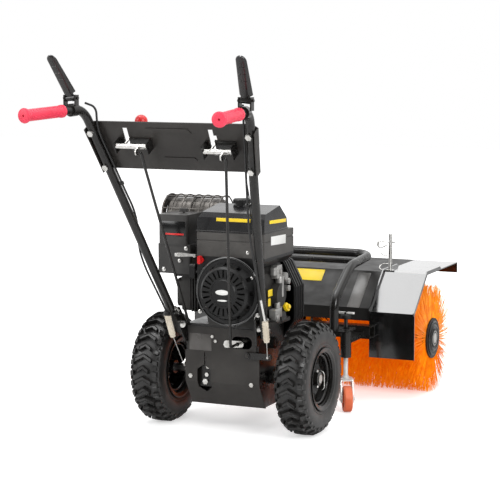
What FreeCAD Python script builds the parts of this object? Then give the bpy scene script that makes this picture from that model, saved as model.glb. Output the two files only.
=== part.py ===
import FreeCAD, Part
import math
import os

os.makedirs("parts", exist_ok=True)
V = FreeCAD.Vector

# Fits and clearances (mm)
run_fit = 0.06
free_gap = 0.4
seat_gap = 0.3

# Wheels and axle: the axle lies along X above the ground origin
tyre_d = 330.0
tyre_w = 98.0
track = 460.0
lip_r = 88.7
bead_r = 76.0
rim_w = 90.0
rim_t = 3.0
lug_h = 9.0
lug_count = 16
lug_w = 17.0
hub_r = 20.0
axle_r = 12.5
axle_z = tyre_d / 2

# Chassis box
chassis_w = 230.0
wall = 4.0
low_z = 77.0
deck_z = 320.0
rear_y = -97.0
front_y = 87.0
fold_z = 150.0
fold_run = 45.0
cover_t = 3.0
cover_over = 3.0
cover_top = 312.0

# Handle: a straight splayed run, one bend, then the grip
tube_r = 12.5
tube_wall = 2.0
foot_stand = 18.5
foot = V(chassis_w / 2 + foot_stand, -100.3, 296.0)
elbow = V(247.0, -452.0, 954.0)
grip_tip = V(279.0, -702.0, 945.0)
elbow_r = 60.0
grip_len = 160.0
grip_r = 16.5
ear_t = 5.0

# Dash panel, placed along the handle tubes
panel_low = 781.0
panel_high = 913.0
panel_t = 2.5
flange_depth = 29.0
slot_w = 14.0

# Engine
crank_x = 45.0
crank_z = 428.0
crank_r = 12.0
case_rear = -105.0
case_front = 80.0
ring_r = 94.0
ring_rear = -150.0
recoil_r = 74.0
recoil_depth = 35.0
shroud_left = -61.0
shroud_right = 150.0
shroud_low = 495.0
tank_low = 593.0
tank_high = 667.0
muffler_r = 50.0
muffler_y = 80.0
muffler_z = 617.0
muffler_left = -246.0
muffler_right = -74.0
guard_gap = 9.0

# Swivel and drive to the head
swivel_y = 205.0
swivel_r = 12.0
fork_high = 246.0
fork_low = 104.0
fork_t = 10.0
neck_r = 28.0

# Brush
brush_d = 352.0
brush_w = 770.0
brush_y = 705.0
brush_z = 177.0
core_r = 30.0
shaft_r = 14.0
wafer_t = 6.0
wafers_per_side = 12
gearbox_w = 60.0
gearbox_r = 55.0

# Hood
hood_t = 3.0
hood_rear = 500.0
hood_front = 944.0
hood_low = 139.0
hood_knee = 285.0
hood_top = 396.0
slope_end = 627.0
lip_drop = 35.0
seam_x = 232.0
centre_low = 293.0

# Beam and casters
beam_x = 250.0
beam_h = 40.0
beam_depth = 45.0
caster_x = 211.0
caster_y = 350.0
sleeve_low = 164.0
sleeve_high = 254.0
sleeve_r = 17.0
slider_r = 11.0
stem_r = 7.0
caster_wheel_r = 40.0
caster_trail = 37.6
caster_turn = 28.6
caster_wheel_w = 26.0
caster_travel = 30.0
spindle_r = 6.0

# Guard tube and collector posts
guard_r = 14.0
guard_x = 190.0
guard_front = 640.0
guard_high = 450.0
post_r = 6.0
post_x = 250.0
post_y = 645.0
post_top = 517.0
clip_z = 491.0
post_tip = 21.0
post_groove = 2.4

# Levers, rods and arms
rod_r = 4.0
eye_r = 6.2
lever_reach = 20.0
knob_r = 18.0
left_slot_x = -144.0
right_slot_x = 113.0
left_rod_x = -85.0
right_rod_x = 166.0
arm_pivot_x = 20.0
arm_pivot_z = 267.0
arm_eye = 32.0
arm_pin = 42.0
rod_stand = 52.0
arm_offset = 12.0
collar_gap = 0.95
wire_r = 1.5
cable_r = 3.0
boot_r = 8.0


def along(axis, level, a, b):
    if axis == "x":
        return V(level, a, b)
    if axis == "y":
        return V(a, level, b)
    return V(a, b, level)


def polygon(corners):
    return Part.makePolygon(list(corners) + [corners[0]])


def prism(outline, axis, low, high):
    corners = [along(axis, low, a, b) for a, b in outline]
    return Part.Face(polygon(corners)).extrude(along(axis, high - low, 0, 0))


def rounded_prism(outline, axis, low, high, radius):
    corners = [along(axis, low, a, b) for a, b in outline]
    wire = rounded_path(corners, [radius] * len(corners), True)
    return Part.Face(wire).extrude(along(axis, high - low, 0, 0))


def block(x0, x1, y0, y1, z0, z1):
    return Part.makeBox(x1 - x0, y1 - y0, z1 - z0, V(x0, y0, z0))


def rod(radius, start, end):
    return Part.makeCylinder(radius, (end - start).Length, start, end - start)


def turned(profile, axis, centre):
    spin = {"x": V(1, 0, 0), "y": V(0, 1, 0), "z": V(0, 0, 1)}[axis]
    place = {
        "x": lambda r, t: V(t, 0, r),
        "y": lambda r, t: V(r, t, 0),
        "z": lambda r, t: V(r, 0, t),
    }[axis]
    face = Part.Face(polygon([place(r, t) for r, t in profile]))
    shape = face.revolve(V(0, 0, 0), spin, 360)
    shape.translate(centre)
    return shape


def rounded_path(corners, radii, closed=False):
    count = len(corners)
    starts = list(corners)
    ends = list(corners)
    arcs = [None] * count
    for i, corner in enumerate(corners):
        if radii[i] == 0 or (not closed and i in (0, count - 1)):
            continue
        before = (corners[i - 1] - corner).normalize()
        after = (corners[(i + 1) % count] - corner).normalize()
        half = before.getAngle(after) / 2
        starts[i] = corner + before * (radii[i] / math.tan(half))
        ends[i] = corner + after * (radii[i] / math.tan(half))
        inward = (before + after).normalize()
        middle = corner + inward * (radii[i] / math.sin(half) - radii[i])
        arcs[i] = Part.Arc(starts[i], middle, ends[i]).toShape()
    edges = []
    for i in range(count):
        if arcs[i]:
            edges.append(arcs[i])
        following = (i + 1) % count
        if closed or i < count - 1:
            edges.append(Part.LineSegment(ends[i], starts[following]).toShape())
    return Part.Wire(edges)


def bent_bar(corners, radii, radius):
    path = rounded_path(corners, radii)
    ring = Part.Wire(Part.makeCircle(radius, corners[0], corners[1] - corners[0]))
    return path.makePipeShell([ring], True, False)


def cord(corners, radius):
    radii = [0]
    for before, here, after in zip(corners, corners[1:], corners[2:]):
        turn = (here - before).getAngle(after - here)
        shorter = min((here - before).Length, (after - here).Length)
        radii.append(0.45 * shorter / math.tan(turn / 2))
    radii.append(0)
    return bent_bar(corners, radii, radius)


def fuse(first, *others):
    return first.fuse(list(others)).removeSplitter()


def mirrored(shape):
    return shape.mirror(V(0, 0, 0), V(1, 0, 0))


def hex_head(size, height, base, axis):
    step = math.pi / 3
    ring = [V(size * math.cos(i * step), size * math.sin(i * step), 0) for i in range(6)]
    head = Part.Face(polygon(ring)).extrude(V(0, 0, height))
    head.Placement = FreeCAD.Placement(base, FreeCAD.Rotation(V(0, 0, 1), axis))
    return head


def bolt(base, axis, size, height, shank_r, shank_len):
    head = hex_head(size, height, base, axis)
    return fuse(head, rod(shank_r, base - axis * shank_len, base + axis))


parts = {}


def keep(name, *solids):
    parts[name] = solids[0] if len(solids) == 1 else Part.makeCompound(list(solids))


# ---- frames shared by the handle pieces -------------------------------------------------
rise = (elbow - foot) * (1 / (elbow.z - foot.z))


def tube_at(z):
    return foot + rise * (z - foot.z)


panel_up = V(0, rise.y, 1).normalize()
panel_origin = V(0, tube_at(panel_low).y, panel_low)
panel_len = (panel_high - panel_low) / panel_up.z
panel_place = FreeCAD.Placement(
    panel_origin, FreeCAD.Rotation(V(1, 0, 0), panel_up, V(1, 0, 0).cross(panel_up), "ZXY"))
panel_back = -tube_r - seat_gap - panel_t


def on_panel(x, up, out):
    return panel_place.multVec(V(x, up, out))


def up_of(z):
    return (z - panel_low) / panel_up.z


# ---- wheels -----------------------------------------------------------------------------
def lug(step, side):
    angle = 360.0 / lug_count * (step + (0 if side > 0 else 0.5))
    half = tyre_w / 2
    base = tyre_d / 2 - lug_h - 6
    corners = [(2 * side, -lug_w / 2 - 2), (2 * side, lug_w / 2 - 2),
               (half * side, lug_w / 2 + 22), (half * side, -lug_w / 2 + 22)]
    bar = prism([(x, y) for x, y in corners], "z", -tyre_d / 2, -base)
    trim = turned([(0, -half), (tyre_d / 2 - 12, -half), (tyre_d / 2 + 2, -half + 8),
                   (tyre_d / 2 + 2, half - 8), (tyre_d / 2 - 12, half), (0, half)], "x", V(0, 0, 0))
    bar = bar.common(trim)
    bar.rotate(V(0, 0, 0), V(1, 0, 0), angle)
    return bar


def make_tyre():
    outer = tyre_d / 2 - lug_h
    half = tyre_w / 2
    seat = rim_w / 2 - rim_t
    bead = seat - 6
    profile = [(bead_r + rim_t + 0.2, -bead + 0.5), (lip_r + 1, -seat + 0.5), (110, -half + 1),
               (128, -half), (outer - 10, -half + 6), (outer, -half + 18), (outer, half - 18),
               (outer - 10, half - 6), (128, half), (110, half - 1), (lip_r + 1, seat - 0.5),
               (bead_r + rim_t + 0.2, bead - 0.5)]
    body = turned(profile, "x", V(0, 0, 0))
    lugs = [lug(step, side) for side in (1, -1) for step in range(lug_count)]
    tyre = fuse(body, *lugs)
    return tyre


def make_rim():
    half = rim_w / 2
    barrel = turned([(bead_r, -half + 6), (lip_r, -half), (lip_r, -half + rim_t),
                     (bead_r + rim_t, -half + 6 + rim_t), (bead_r + rim_t, half - 6 - rim_t),
                     (lip_r, half - rim_t), (lip_r, half), (bead_r, half - 6)], "x", V(0, 0, 0))
    dish = turned([(hub_r - 1, -4), (hub_r + 14, -4), (hub_r + 30, 14), (bead_r + 1, 14),
                   (bead_r + 1, 18), (hub_r + 28, 18), (hub_r + 12, 0), (hub_r - 1, 0)],
                  "x", V(0, 0, 0))
    hub = turned([(axle_r + run_fit, -30), (hub_r, -30), (hub_r, 35), (axle_r + run_fit, 35)],
                 "x", V(0, 0, 0))
    rim = fuse(barrel, dish, hub)
    for step in range(4):
        hole = rod(5.5, V(8, 0, 56), V(24, 0, 56))
        hole.rotate(V(0, 0, 0), V(1, 0, 0), 45 + 90 * step)
        rim = rim.cut(hole)
    return rim.cut(rod(pin_r + run_fit, V(pin_x, 0, -40), V(pin_x, 0, 40)))


pin_r = 4.0
pin_x = 27.0
wheel_x = track / 2
wheel_centre = V(wheel_x, 0, axle_z)
tyre = make_tyre()
tyre.translate(wheel_centre)
keep("tyre_right", tyre)
keep("tyre_left", mirrored(tyre))
rim = make_rim()
rim.translate(wheel_centre)
keep("rim_right", rim)
keep("rim_left", mirrored(rim))


def make_click_pin():
    top = hub_r + 6
    pin = rod(pin_r, V(pin_x, 0, -top), V(pin_x, 0, top))
    ring = bent_bar([V(pin_x, 0, top - 2), V(pin_x + 22, 0, top - 2), V(pin_x + 22, 0, -top - 6),
                     V(pin_x + 8, 0, -top - 6)], [0, 12, 12, 0], 1.5)
    clip = fuse(pin, ring)
    clip.translate(wheel_centre)
    return clip


click_pin = make_click_pin()
keep("click_pins", click_pin, mirrored(click_pin))

gear_module = 4.0
gear_teeth = 36
pinion_teeth = 12
gear_x = -70.0
gear_w = 16.0
gear_r = gear_module * gear_teeth / 2
pinion_r = gear_module * pinion_teeth / 2
drive_z = axle_z + gear_r + pinion_r + 0.5
drive_r = 9.0


def toothed(teeth, x, width, turn):
    pitch = gear_module * teeth / 2
    outline = []
    step = 2 * math.pi / teeth
    for i in range(teeth):
        for share, radius in ((-0.32, -1.25), (-0.13, 0.95), (0.13, 0.95), (0.32, -1.25)):
            angle = (i + share + turn) * step
            r = pitch + radius * gear_module
            outline.append((r * math.cos(angle), r * math.sin(angle)))
    return prism(outline, "x", x - width / 2, x + width / 2)


half_axle = wheel_x + 38
axle = rod(axle_r, V(-half_axle, 0, 0), V(half_axle, 0, 0))
axle = fuse(axle, toothed(gear_teeth, gear_x, gear_w, 0.0))
for side in (1, -1):
    collar = turned([(axle_r - 1, 0), (19, 0), (19, 12), (axle_r - 1, 12)], "x", V(0, 0, 0))
    collar.translate(V(chassis_w / 2 + 17 if side > 0 else -chassis_w / 2 - 29, 0, 0))
    axle = fuse(axle, collar)
    pin_hole_x = side * (wheel_x + pin_x)
    axle = axle.cut(rod(pin_r + run_fit, V(pin_hole_x, 0, -20), V(pin_hole_x, 0, 20)))
axle.translate(V(0, 0, axle_z))
keep("axle_shaft", axle)

shaft = fuse(rod(drive_r, V(-chassis_w / 2 - 6, 0, 0), V(chassis_w / 2 + 6, 0, 0)),
             toothed(pinion_teeth, gear_x, gear_w + 4, 0.5),
             rod(44, V(20, 0, 0), V(34, 0, 0)), rod(20, V(8, 0, 0), V(46, 0, 0)))
shaft.translate(V(0, 0, drive_z))
keep("drive_shaft", shaft)

# ---- chassis ----------------------------------------------------------------------------
half_w = chassis_w / 2
fold_low_y = rear_y + fold_run


def make_ear():
    inner = -tube_r - seat_gap - ear_t
    splay = math.degrees(math.atan2(rise.x, 1))
    plate = rounded_prism([(-24, -30), (24, -30), (20, 74), (-20, 74)], "x", inner,
                          inner + ear_t, 10)
    lean = math.degrees(math.atan2(-rise.y, 1))
    plate.rotate(V(0, 0, 0), V(1, 0, 0), lean)
    plate.rotate(V(0, 0, 0), V(0, 1, 0), splay)
    plate.translate(foot)
    return plate


ear_bolts = [tube_at(foot.z + 20), tube_at(foot.z + 54)]
splay_axis = V(1, 0, -rise.x).normalize()


def cross_bolt(centre, reach_in, reach_out):
    inner = centre - splay_axis * reach_in
    outer = centre + splay_axis * reach_out
    shank = rod(4, inner, outer)
    return fuse(shank, hex_head(8, 6, inner, splay_axis * -1), hex_head(7.5, 7, outer, splay_axis))


def bolt_hole(centre):
    return rod(4 + seat_gap, centre - splay_axis * 30, centre + splay_axis * 30)


box_outline = [(rear_y, deck_z), (rear_y, fold_z), (fold_low_y, low_z), (front_y, low_z),
               (front_y, deck_z)]
inside = [(rear_y - 40, deck_z - wall), (rear_y - 40, low_z + wall), (front_y - wall, low_z + wall),
          (front_y - wall, deck_z - wall)]
chassis = prism(box_outline, "x", -half_w, half_w)
chassis = chassis.cut(prism(inside, "x", -half_w + wall, half_w - wall))
rear_lip = block(-half_w + wall, half_w - wall, rear_y, rear_y + wall, cover_top - 14, deck_z - wall)
window_plate = block(-half_w + wall, -28, rear_y + 14, rear_y + 18, 133, 206)
bearings = []
for x in (half_w, -half_w - 12):
    bearings.append(rod(26, V(x, 0, axle_z), V(x + 12, 0, axle_z)))
    bearings.append(rod(18, V(x, 0, drive_z), V(x + 12, 0, drive_z)))
ear = make_ear()
chassis = fuse(chassis, rear_lip, window_plate, *bearings, ear, mirrored(ear))
chassis = chassis.cut(rod(axle_r + free_gap, V(-half_w - 20, 0, axle_z), V(half_w + 20, 0, axle_z)))
chassis = chassis.cut(rod(drive_r + free_gap, V(-half_w - 6.5, 0, drive_z),
                          V(half_w + 6.5, 0, drive_z)))
for centre in ear_bolts:
    chassis = chassis.cut([bolt_hole(centre), mirrored(bolt_hole(centre))])

# ---- rods and levers share these places -------------------------------------------------
slot_left_z = 870.0
slot_right_z = 861.0
pivot_drop = 12.0
pivot_back = 13.9
stem_run = 200.0
stem_len = 110.0
reach_dir = V(0, -0.707, -0.707)
left_pivot = on_panel(left_slot_x, up_of(slot_left_z) - pivot_drop, pivot_back)
right_pivot = on_panel(right_slot_x, up_of(slot_right_z) - pivot_drop, pivot_back)
left_rod_top = V(left_rod_x, left_pivot.y, left_pivot.z) + reach_dir * lever_reach
right_rod_top = V(right_rod_x, right_pivot.y, right_pivot.z) + reach_dir * lever_reach
left_rod_low = V(-111, -80, 300)
arm_eye_x = arm_pivot_x + arm_eye
arm_y = rear_y - cover_t
right_rod_low = V(arm_eye_x, arm_y - rod_stand, arm_pivot_z + 1.7)
left_rod_dir = (left_rod_low - left_rod_top).normalize()
rod_guide = rod(rod_r + free_gap, left_rod_low - left_rod_dir * 60, left_rod_low + left_rod_dir * 30)
chassis = chassis.cut(rod_guide)

clutch_pivot_r = 5.0
left_arm_pivot = V(-half_w, -46, 219)
right_arm_pivot = V(84, arm_y, 238)
left_boss = rod(clutch_pivot_r, left_arm_pivot, left_arm_pivot - V(14, 0, 0))
chassis = fuse(chassis, left_boss)

# Rear cover: one folded sheet over the open back
fold_len = math.hypot(fold_run, fold_z - low_z)
out_y = -(fold_z - low_z) / fold_len * cover_t
out_z = -fold_run / fold_len * cover_t
outer_y = rear_y - cover_t
knee_z = fold_z + out_z + (rear_y + out_y - outer_y) / fold_run * (fold_z - low_z)
cover_outline = [(outer_y, cover_top), (outer_y, knee_z), (fold_low_y + out_y, low_z + out_z),
                 (fold_low_y, low_z), (rear_y, fold_z), (rear_y, cover_top)]
cover_half = half_w + cover_over
cover = prism(cover_outline, "x", -cover_half, cover_half)
kidney = rounded_prism([(32, 255), (95, 255), (95, 290), (32, 290)], "y", outer_y - 5, rear_y + 5, 15)
window = prism([(-58, 116), (-38, 132), (-36, 186), (-58, 200), (-80, 186), (-80, 132)], "y",
               outer_y - 5, rear_y + 50)
slit = block(-57, -54, outer_y - 5, rear_y + 5, 199, 236)
cover = cover.cut([kidney, window, slit])
for side in (1, -1):
    x = side * (half_w - 6)
    cover = cover.cut(block(min(x, x + side * 20), max(x, x + side * 20), outer_y - 1, rear_y + 1,
                            foot.z - 56, cover_top + 1))
cover_bolts = [(arm_pivot_x, arm_pivot_z, 10.0, 5.0), (94, 152, 7.0, 3.5), (-30, 285, 5.0, 2.5),
               (-20, 272, 5.0, 2.5), (-100, 165, 7.0, 3.5)]
zinc = []
for x, z, size, shank in cover_bolts:
    cover = cover.cut(rod(shank + seat_gap, V(x, outer_y - 5, z), V(x, rear_y + 5, z)))
    pivot = size == 10.0
    head_y = outer_y - 6.2 if pivot else outer_y
    zinc.append(bolt(V(x, head_y, z), V(0, -1, 0), size, size * 0.6, shank, 20 if pivot else 12))
plate_y = rear_y + 14
for x, z, size in ((-52, 192, 6.5), (-56, 168, 6.5), (-60, 147, 9.0)):
    zinc.append(hex_head(size, size * 0.6, V(x, plate_y, z), V(0, -1, 0)))
arm_post = rod(clutch_pivot_r, right_arm_pivot + V(0, 3, 0), right_arm_pivot - V(0, 14, 0))
cover = fuse(cover, arm_post)
keep("rear_cover", cover)
keep("chassis_housing", chassis.cut(rod(5 + seat_gap, V(arm_pivot_x, rear_y - 1, arm_pivot_z),
                                        V(arm_pivot_x, rear_y + 5, arm_pivot_z))))


# ---- handle -----------------------------------------------------------------------------
def bar_tube(radius):
    return bent_bar([foot, elbow, grip_tip], [0, elbow_r, 0], radius)


tube = bar_tube(tube_r).cut(bar_tube(tube_r - tube_wall))
for centre in ear_bolts:
    tube = tube.cut(bolt_hole(centre))
    zinc.append(cross_bolt(centre, tube_r + seat_gap + ear_t, tube_r + 0.3))
    zinc.append(mirrored(zinc[-1]))


# Bolts that hold the panel to the tubes, with their heads towards the operator
def panel_bolt(centre):
    out = V(1, 0, 0).cross(panel_up)
    head = centre + out * (tube_r + 0.2)
    nut = centre - out * (tube_r + seat_gap + panel_t)
    shank = rod(4, head, nut - out * 7)
    return fuse(hex_head(9.5, 7, head, out), shank, hex_head(7.5, 6, nut, out * -1))


def panel_hole(centre):
    out = V(1, 0, 0).cross(panel_up)
    return rod(4 + seat_gap, centre - out * 30, centre + out * 30)


panel_bolts = [tube_at(panel_low + 16), tube_at(panel_high - 20)]
for centre in panel_bolts:
    tube = tube.cut(panel_hole(centre))
    zinc.append(panel_bolt(centre))
    zinc.append(mirrored(zinc[-1]))
keep("handle_tube_right", tube)
keep("handle_tube_left", mirrored(tube))

grip_dir = (grip_tip - elbow).normalize()


def make_grip():
    bore = tube_r + 0.1
    length = grip_len
    outline = [(bore, 0), (grip_r + 2, 0), (grip_r + 2, 5), (grip_r, 8)]
    for ring in range(1, 8):
        t = 8 + ring * (length - 24) / 8
        outline += [(grip_r, t - 2), (grip_r - 1, t), (grip_r, t + 2)]
    outline += [(grip_r, length - 10), (grip_r + 5, length - 6), (grip_r + 5, length),
                (grip_r - 4, length + 4), (0, length + 4), (0, length), (bore, length)]
    grip = turned(outline, "z", V(0, 0, 0))
    grip.Placement = FreeCAD.Placement(grip_tip - grip_dir * grip_len,
                                       FreeCAD.Rotation(V(0, 0, 1), grip_dir))
    return grip


grip = make_grip()
keep("grip_right", grip)
keep("grip_left", mirrored(grip))


# Dash panel, drawn in its own plane: x, up along the tubes, out towards the operator
def panel_prism(outline, low, high):
    shape = prism(outline, "z", low, high)
    shape.Placement = panel_place
    return shape


def half_width(up):
    return tube_at(panel_low + up * panel_up.z).x + tube_r + seat_gap


sheet = panel_back + panel_t
edge = [(half_width(0), 0), (half_width(panel_len), panel_len)]
corner = 12.0
face_outline = [(-edge[0][0] - panel_t, 0), (edge[0][0] + panel_t, 0),
                (edge[1][0] + panel_t, panel_len - corner), (edge[1][0] - corner, panel_len),
                (-edge[1][0] + corner, panel_len), (-edge[1][0] - panel_t, panel_len - corner)]
panel = panel_prism(face_outline, panel_back, sheet)
for sign in (1, -1):
    flange = panel_prism([(sign * edge[0][0], 0), (sign * (edge[0][0] + panel_t), 0),
                          (sign * (edge[1][0] + panel_t), panel_len - corner),
                          (sign * edge[1][0], panel_len - corner)], panel_back, panel_back + flange_depth)
    panel = fuse(panel, flange)
boss_top = [(-90, up_of(885)), (56, up_of(885)), (46, up_of(897)), (-80, up_of(897))]
boss_low = [(-50, up_of(810)), (55, up_of(810)), (48, up_of(817)), (-43, up_of(817))]
panel = fuse(panel, panel_prism(boss_top, sheet, sheet + 2), panel_prism(boss_low, sheet, sheet + 2))


def slot(x_low, z_low, x_high, z_high, low, high):
    half = slot_w / 2
    return panel_prism([(x_low - half, up_of(z_low)), (x_low + half, up_of(z_low)),
                        (x_high + half, up_of(z_high)), (x_high - half, up_of(z_high))], low, high)


def gate_slots(low, high):
    left = slot(left_slot_x, 840, left_slot_x, 896, low, high)
    right = slot(right_slot_x, 826, right_slot_x, 896, low, high)
    notch = panel_prism([(right_slot_x, up_of(868)), (right_slot_x + 15, up_of(868)),
                         (right_slot_x + 15, up_of(880)), (right_slot_x, up_of(880))], low, high)
    return [left, right, notch]


panel = panel.cut(gate_slots(panel_back - 10, sheet + 10))
for centre in panel_bolts:
    panel = panel.cut([panel_hole(centre), panel_hole(V(-centre.x, centre.y, centre.z))])

# Brackets behind the panel that carry the two shift levers
bracket_t = 3.0


def lever_bracket(x_low, x_high, pivot, z_low, z_high):
    back = sheet + bracket_t
    low = up_of(z_low)
    high = up_of(z_high)
    plate = panel_prism([(x_low, low), (x_high, low), (x_high, high), (x_low, high)], sheet, back)
    shapes = [plate]
    for x in (x_low, x_high - bracket_t):
        shapes.append(panel_prism([(x, low), (x + bracket_t, low), (x + bracket_t, high),
                                   (x, high)], back, pivot_back + 9))
    solid = fuse(*shapes)
    pin = rod(4, V(x_low - 4, pivot.y, pivot.z), V(x_high + 4, pivot.y, pivot.z))
    return fuse(solid, pin)


left_bracket = lever_bracket(-170, -69, left_pivot, 841, 869)
right_bracket = lever_bracket(92, 182, right_pivot, 832, 866)
brackets = [left_bracket.cut(gate_slots(sheet - 1, sheet + 5)),
            right_bracket.cut(gate_slots(sheet - 1, sheet + 5))]


def make_shift_lever(pivot, rod_x, near_x, far_x):
    sleeve = rod(7.5, V(near_x, pivot.y, pivot.z), V(far_x, pivot.y, pivot.z))
    slot_z = slot_left_z if pivot.x < 0 else slot_right_z
    aim = on_panel(pivot.x, up_of(slot_z), pivot_back - stem_run)
    stem_dir = (aim - pivot).normalize()
    tip = pivot + stem_dir * stem_len
    stem = rod(4, pivot, tip)
    knob = Part.makeSphere(knob_r, tip + stem_dir * 10)
    arm_x = rod_x - arm_offset
    end = V(arm_x, pivot.y, pivot.z) + reach_dir * lever_reach
    hinge = V(arm_x, pivot.y, pivot.z)
    web = Part.makeBox(4, 13, lever_reach, V(-2, -6.5, -lever_reach))
    web.rotate(V(0, 0, 0), V(1, 0, 0), -45)
    web.translate(hinge)
    eye = rod(eye_r + 3, end - V(2, 0, 0), end + V(2, 0, 0))
    lever = fuse(sleeve, stem, knob, web, eye)
    lever = lever.cut(rod(4 + run_fit, V(near_x - 1, pivot.y, pivot.z), V(far_x + 1, pivot.y, pivot.z)))
    return lever.cut(rod(eye_r, end - V(5, 0, 0), end + V(5, 0, 0)))


keep("shift_lever_left", make_shift_lever(left_pivot, left_rod_x, -166.4, -72.6))
keep("shift_lever_right", make_shift_lever(right_pivot, right_rod_x, 95.6, 178.4))


def shift_rod(top, low, hook_low):
    hook = arm_offset + 2 + collar_gap + 3
    path = [top - V(hook, 0, 0), top, low]
    radii = [0, 8, 0]
    if hook_low:
        path.append(low + V(0, rod_stand + 4, 0))
        radii = [0, 8, 8, 0]
    collar = rod(eye_r + 2, top - V(hook, 0, 0), top - V(hook - 3, 0, 0))
    return fuse(bent_bar(path, radii, rod_r), collar)


keep("shift_rod_left", shift_rod(left_rod_top, left_rod_low, False))
keep("shift_rod_right", shift_rod(right_rod_top, right_rod_low, True))


def make_shift_arm():
    near = arm_y - seat_gap - 5.0
    far = arm_y - seat_gap
    outline = [(-11, -11), (arm_pin + 9, -9), (arm_pin + 9, 9), (-11, 11)]
    plate = rounded_prism(outline, "y", near, far, 8)
    finger = rod(3.5, V(arm_pin, far - 1, 0), V(arm_pin, far + 16, 0))
    arm = fuse(plate, finger)
    arm = arm.cut([rod(5 + run_fit, V(0, near - 1, 0), V(0, far + 1, 0)),
                   rod(eye_r, V(arm_eye, near - 1, 0), V(arm_eye, far + 1, 0))])
    arm.rotate(V(0, 0, 0), V(0, 1, 0), -3)
    arm.translate(V(arm_pivot_x, 0, arm_pivot_z))
    return arm


keep("shift_arm_right", make_shift_arm())

# ---- clutch levers and their cables -----------------------------------------------------
lever_pivot = V(258, -497, 984)
lever_tilt = 56.0
paddle_splay = 8.0
paddle_len = 138.0


def clutch_bracket():
    near = lever_pivot.y
    ring = rod(tube_r + 5, tube_point(near - 12), tube_point(near + 12))
    ears = []
    for x in (-19, 15):
        ears.append(block(lever_pivot.x + x, lever_pivot.x + x + 4, near - 9, near + 9,
                          lever_pivot.z - 26, lever_pivot.z + 9))
    shape = fuse(ring, *ears)
    shape = shape.cut(rod(tube_r + 0.1, tube_point(near - 40), tube_point(near + 40)))
    pin = rod(4, lever_pivot - V(23, 0, 0), lever_pivot + V(23, 0, 0))
    return fuse(shape, pin)


def tube_point(y):
    share = (y - elbow.y) / (grip_tip.y - elbow.y)
    return elbow + (grip_tip - elbow) * share


def make_clutch_lever():
    width = 17.0
    outline = [(-9, 0), (9, 0), (width, 40), (width, paddle_len - 14),
               (width - 10, paddle_len), (-width + 10, paddle_len), (-width, paddle_len - 14),
               (-width, 40)]
    paddle = prism(outline, "y", -3, 3)
    ribs = [block(-width + 4, width - 4, -5, -2, t, t + 3) for t in range(44, 130, 10)]
    boss = rod(8, V(-14.7, 0, 0), V(14.7, 0, 0))
    blade = fuse(paddle, *ribs)
    blade.rotate(V(0, 0, 0), V(0, 1, 0), paddle_splay)
    blade = blade.common(block(-60, 60, -20, 20, 3, 200))
    horn = rounded_prism([(-2, -7), (15, -16), (20, -8), (2, 7)], "x", -4, 4, 2)
    lever = fuse(blade, boss, horn)
    lever = lever.cut(rod(4 + run_fit, V(-20, 0, 0), V(20, 0, 0)))
    lever.rotate(V(0, 0, 0), V(1, 0, 0), 90 - lever_tilt)
    lever.translate(lever_pivot)
    return lever


clutch = make_clutch_lever()
keep("clutch_lever_right", clutch)
keep("clutch_lever_left", mirrored(clutch))
bracket = clutch_bracket()
keep("dash_panel", panel)


# Clutch cables: outer cable, spring boot, then the bare wire on the clutch arm
def make_cable(top, mid, boot_top, boot_end, sign):
    points = [top, top + V(-sign * 14, 34, -12)] + mid + [boot_top]
    outer = cord(points, cable_r)
    way = (boot_end - boot_top).normalize()
    sleeve = rod(boot_r, boot_top + way * 0.1, boot_end)
    rings = [rod(boot_r + 1.5, boot_top + way * t, boot_top + way * (t + 3))
             for t in range(6, int((boot_end - boot_top).Length) - 6, 8)]
    boot = fuse(sleeve, *rings)
    bore = rod(wire_r + seat_gap, boot_top + way * 10, boot_end + way * 5)
    mouth = rod(wire_r + mouth_gap, boot_end - way * mouth_depth, boot_end + way * 5)
    return [outer, boot.cut([bore, mouth])]


def beside_tube(z, inboard, behind):
    spot = tube_at(z)
    return V(spot.x - inboard, spot.y - behind, z)


mouth_gap = 2.0
mouth_depth = 15.0
left_boot_x = -half_w - 25.0
left_boot_top = V(left_boot_x, -177, 364)
left_boot_end = V(left_boot_x, -136, 284)
left_wire_end = V(-half_w - 18.0, -84, 197)
right_boot_top = V(159, -152, 349)
right_boot_end = V(156, -133, 288)
right_wire_end = V(150, -113.5, 238)


def mirror_point(p):
    return V(-p.x, p.y, p.z)


right_run = [beside_tube(900, 19, 2), beside_tube(770, 20, 4), beside_tube(620, 20, 12),
             beside_tube(440, -6, 26)]
wrap = [(770, 20, 0), (720, 20, 0), (670, 14, -14), (620, 0, -20), (580, -14, -14), (540, -20, 0),
        (490, -17, 14), (440, -8, 24)]
left_run = [beside_tube(900, 19, 2)] + [beside_tube(*turn) for turn in wrap]
left_run = [mirror_point(spot) for spot in left_run]
cable_top = lever_pivot + V(-24, 34, -14)
cables = make_cable(cable_top, right_run, right_boot_top, right_boot_end, 1)
cables += make_cable(mirror_point(cable_top), left_run, left_boot_top, left_boot_end, -1)
throttle_r = 1.8
throttle_up = up_of(800)
throttle_run = [on_panel(196, throttle_up, panel_back - 0.2), on_panel(196, throttle_up, panel_back - 26),
                V(187, -344, 778), V(152, -240, 702), V(119, -160, 648), V(116, -136.3, 628)]
cables.append(cord(throttle_run, throttle_r))
keep("control_cables", *cables)


def cable_clip(run):
    centre = (run[1] + run[2]) * 0.5
    way = (run[2] - run[1]).normalize()
    tube_spot = tube_at(centre.z)
    clip = fuse(rod(6, centre - way * 4, centre + way * 4), rod(3, centre, tube_spot))
    clip = clip.cut(rod(cable_r + 0.1, centre - way * 12, centre + way * 12))
    return clip.cut(rod(tube_r + 0.1, foot, tube_at(900)))


clip_right = cable_clip(right_run)
clip_left = mirrored(cable_clip([mirror_point(spot) for spot in left_run]))
keep("control_brackets", *brackets, bracket, mirrored(bracket), clip_right, clip_left)


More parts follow.
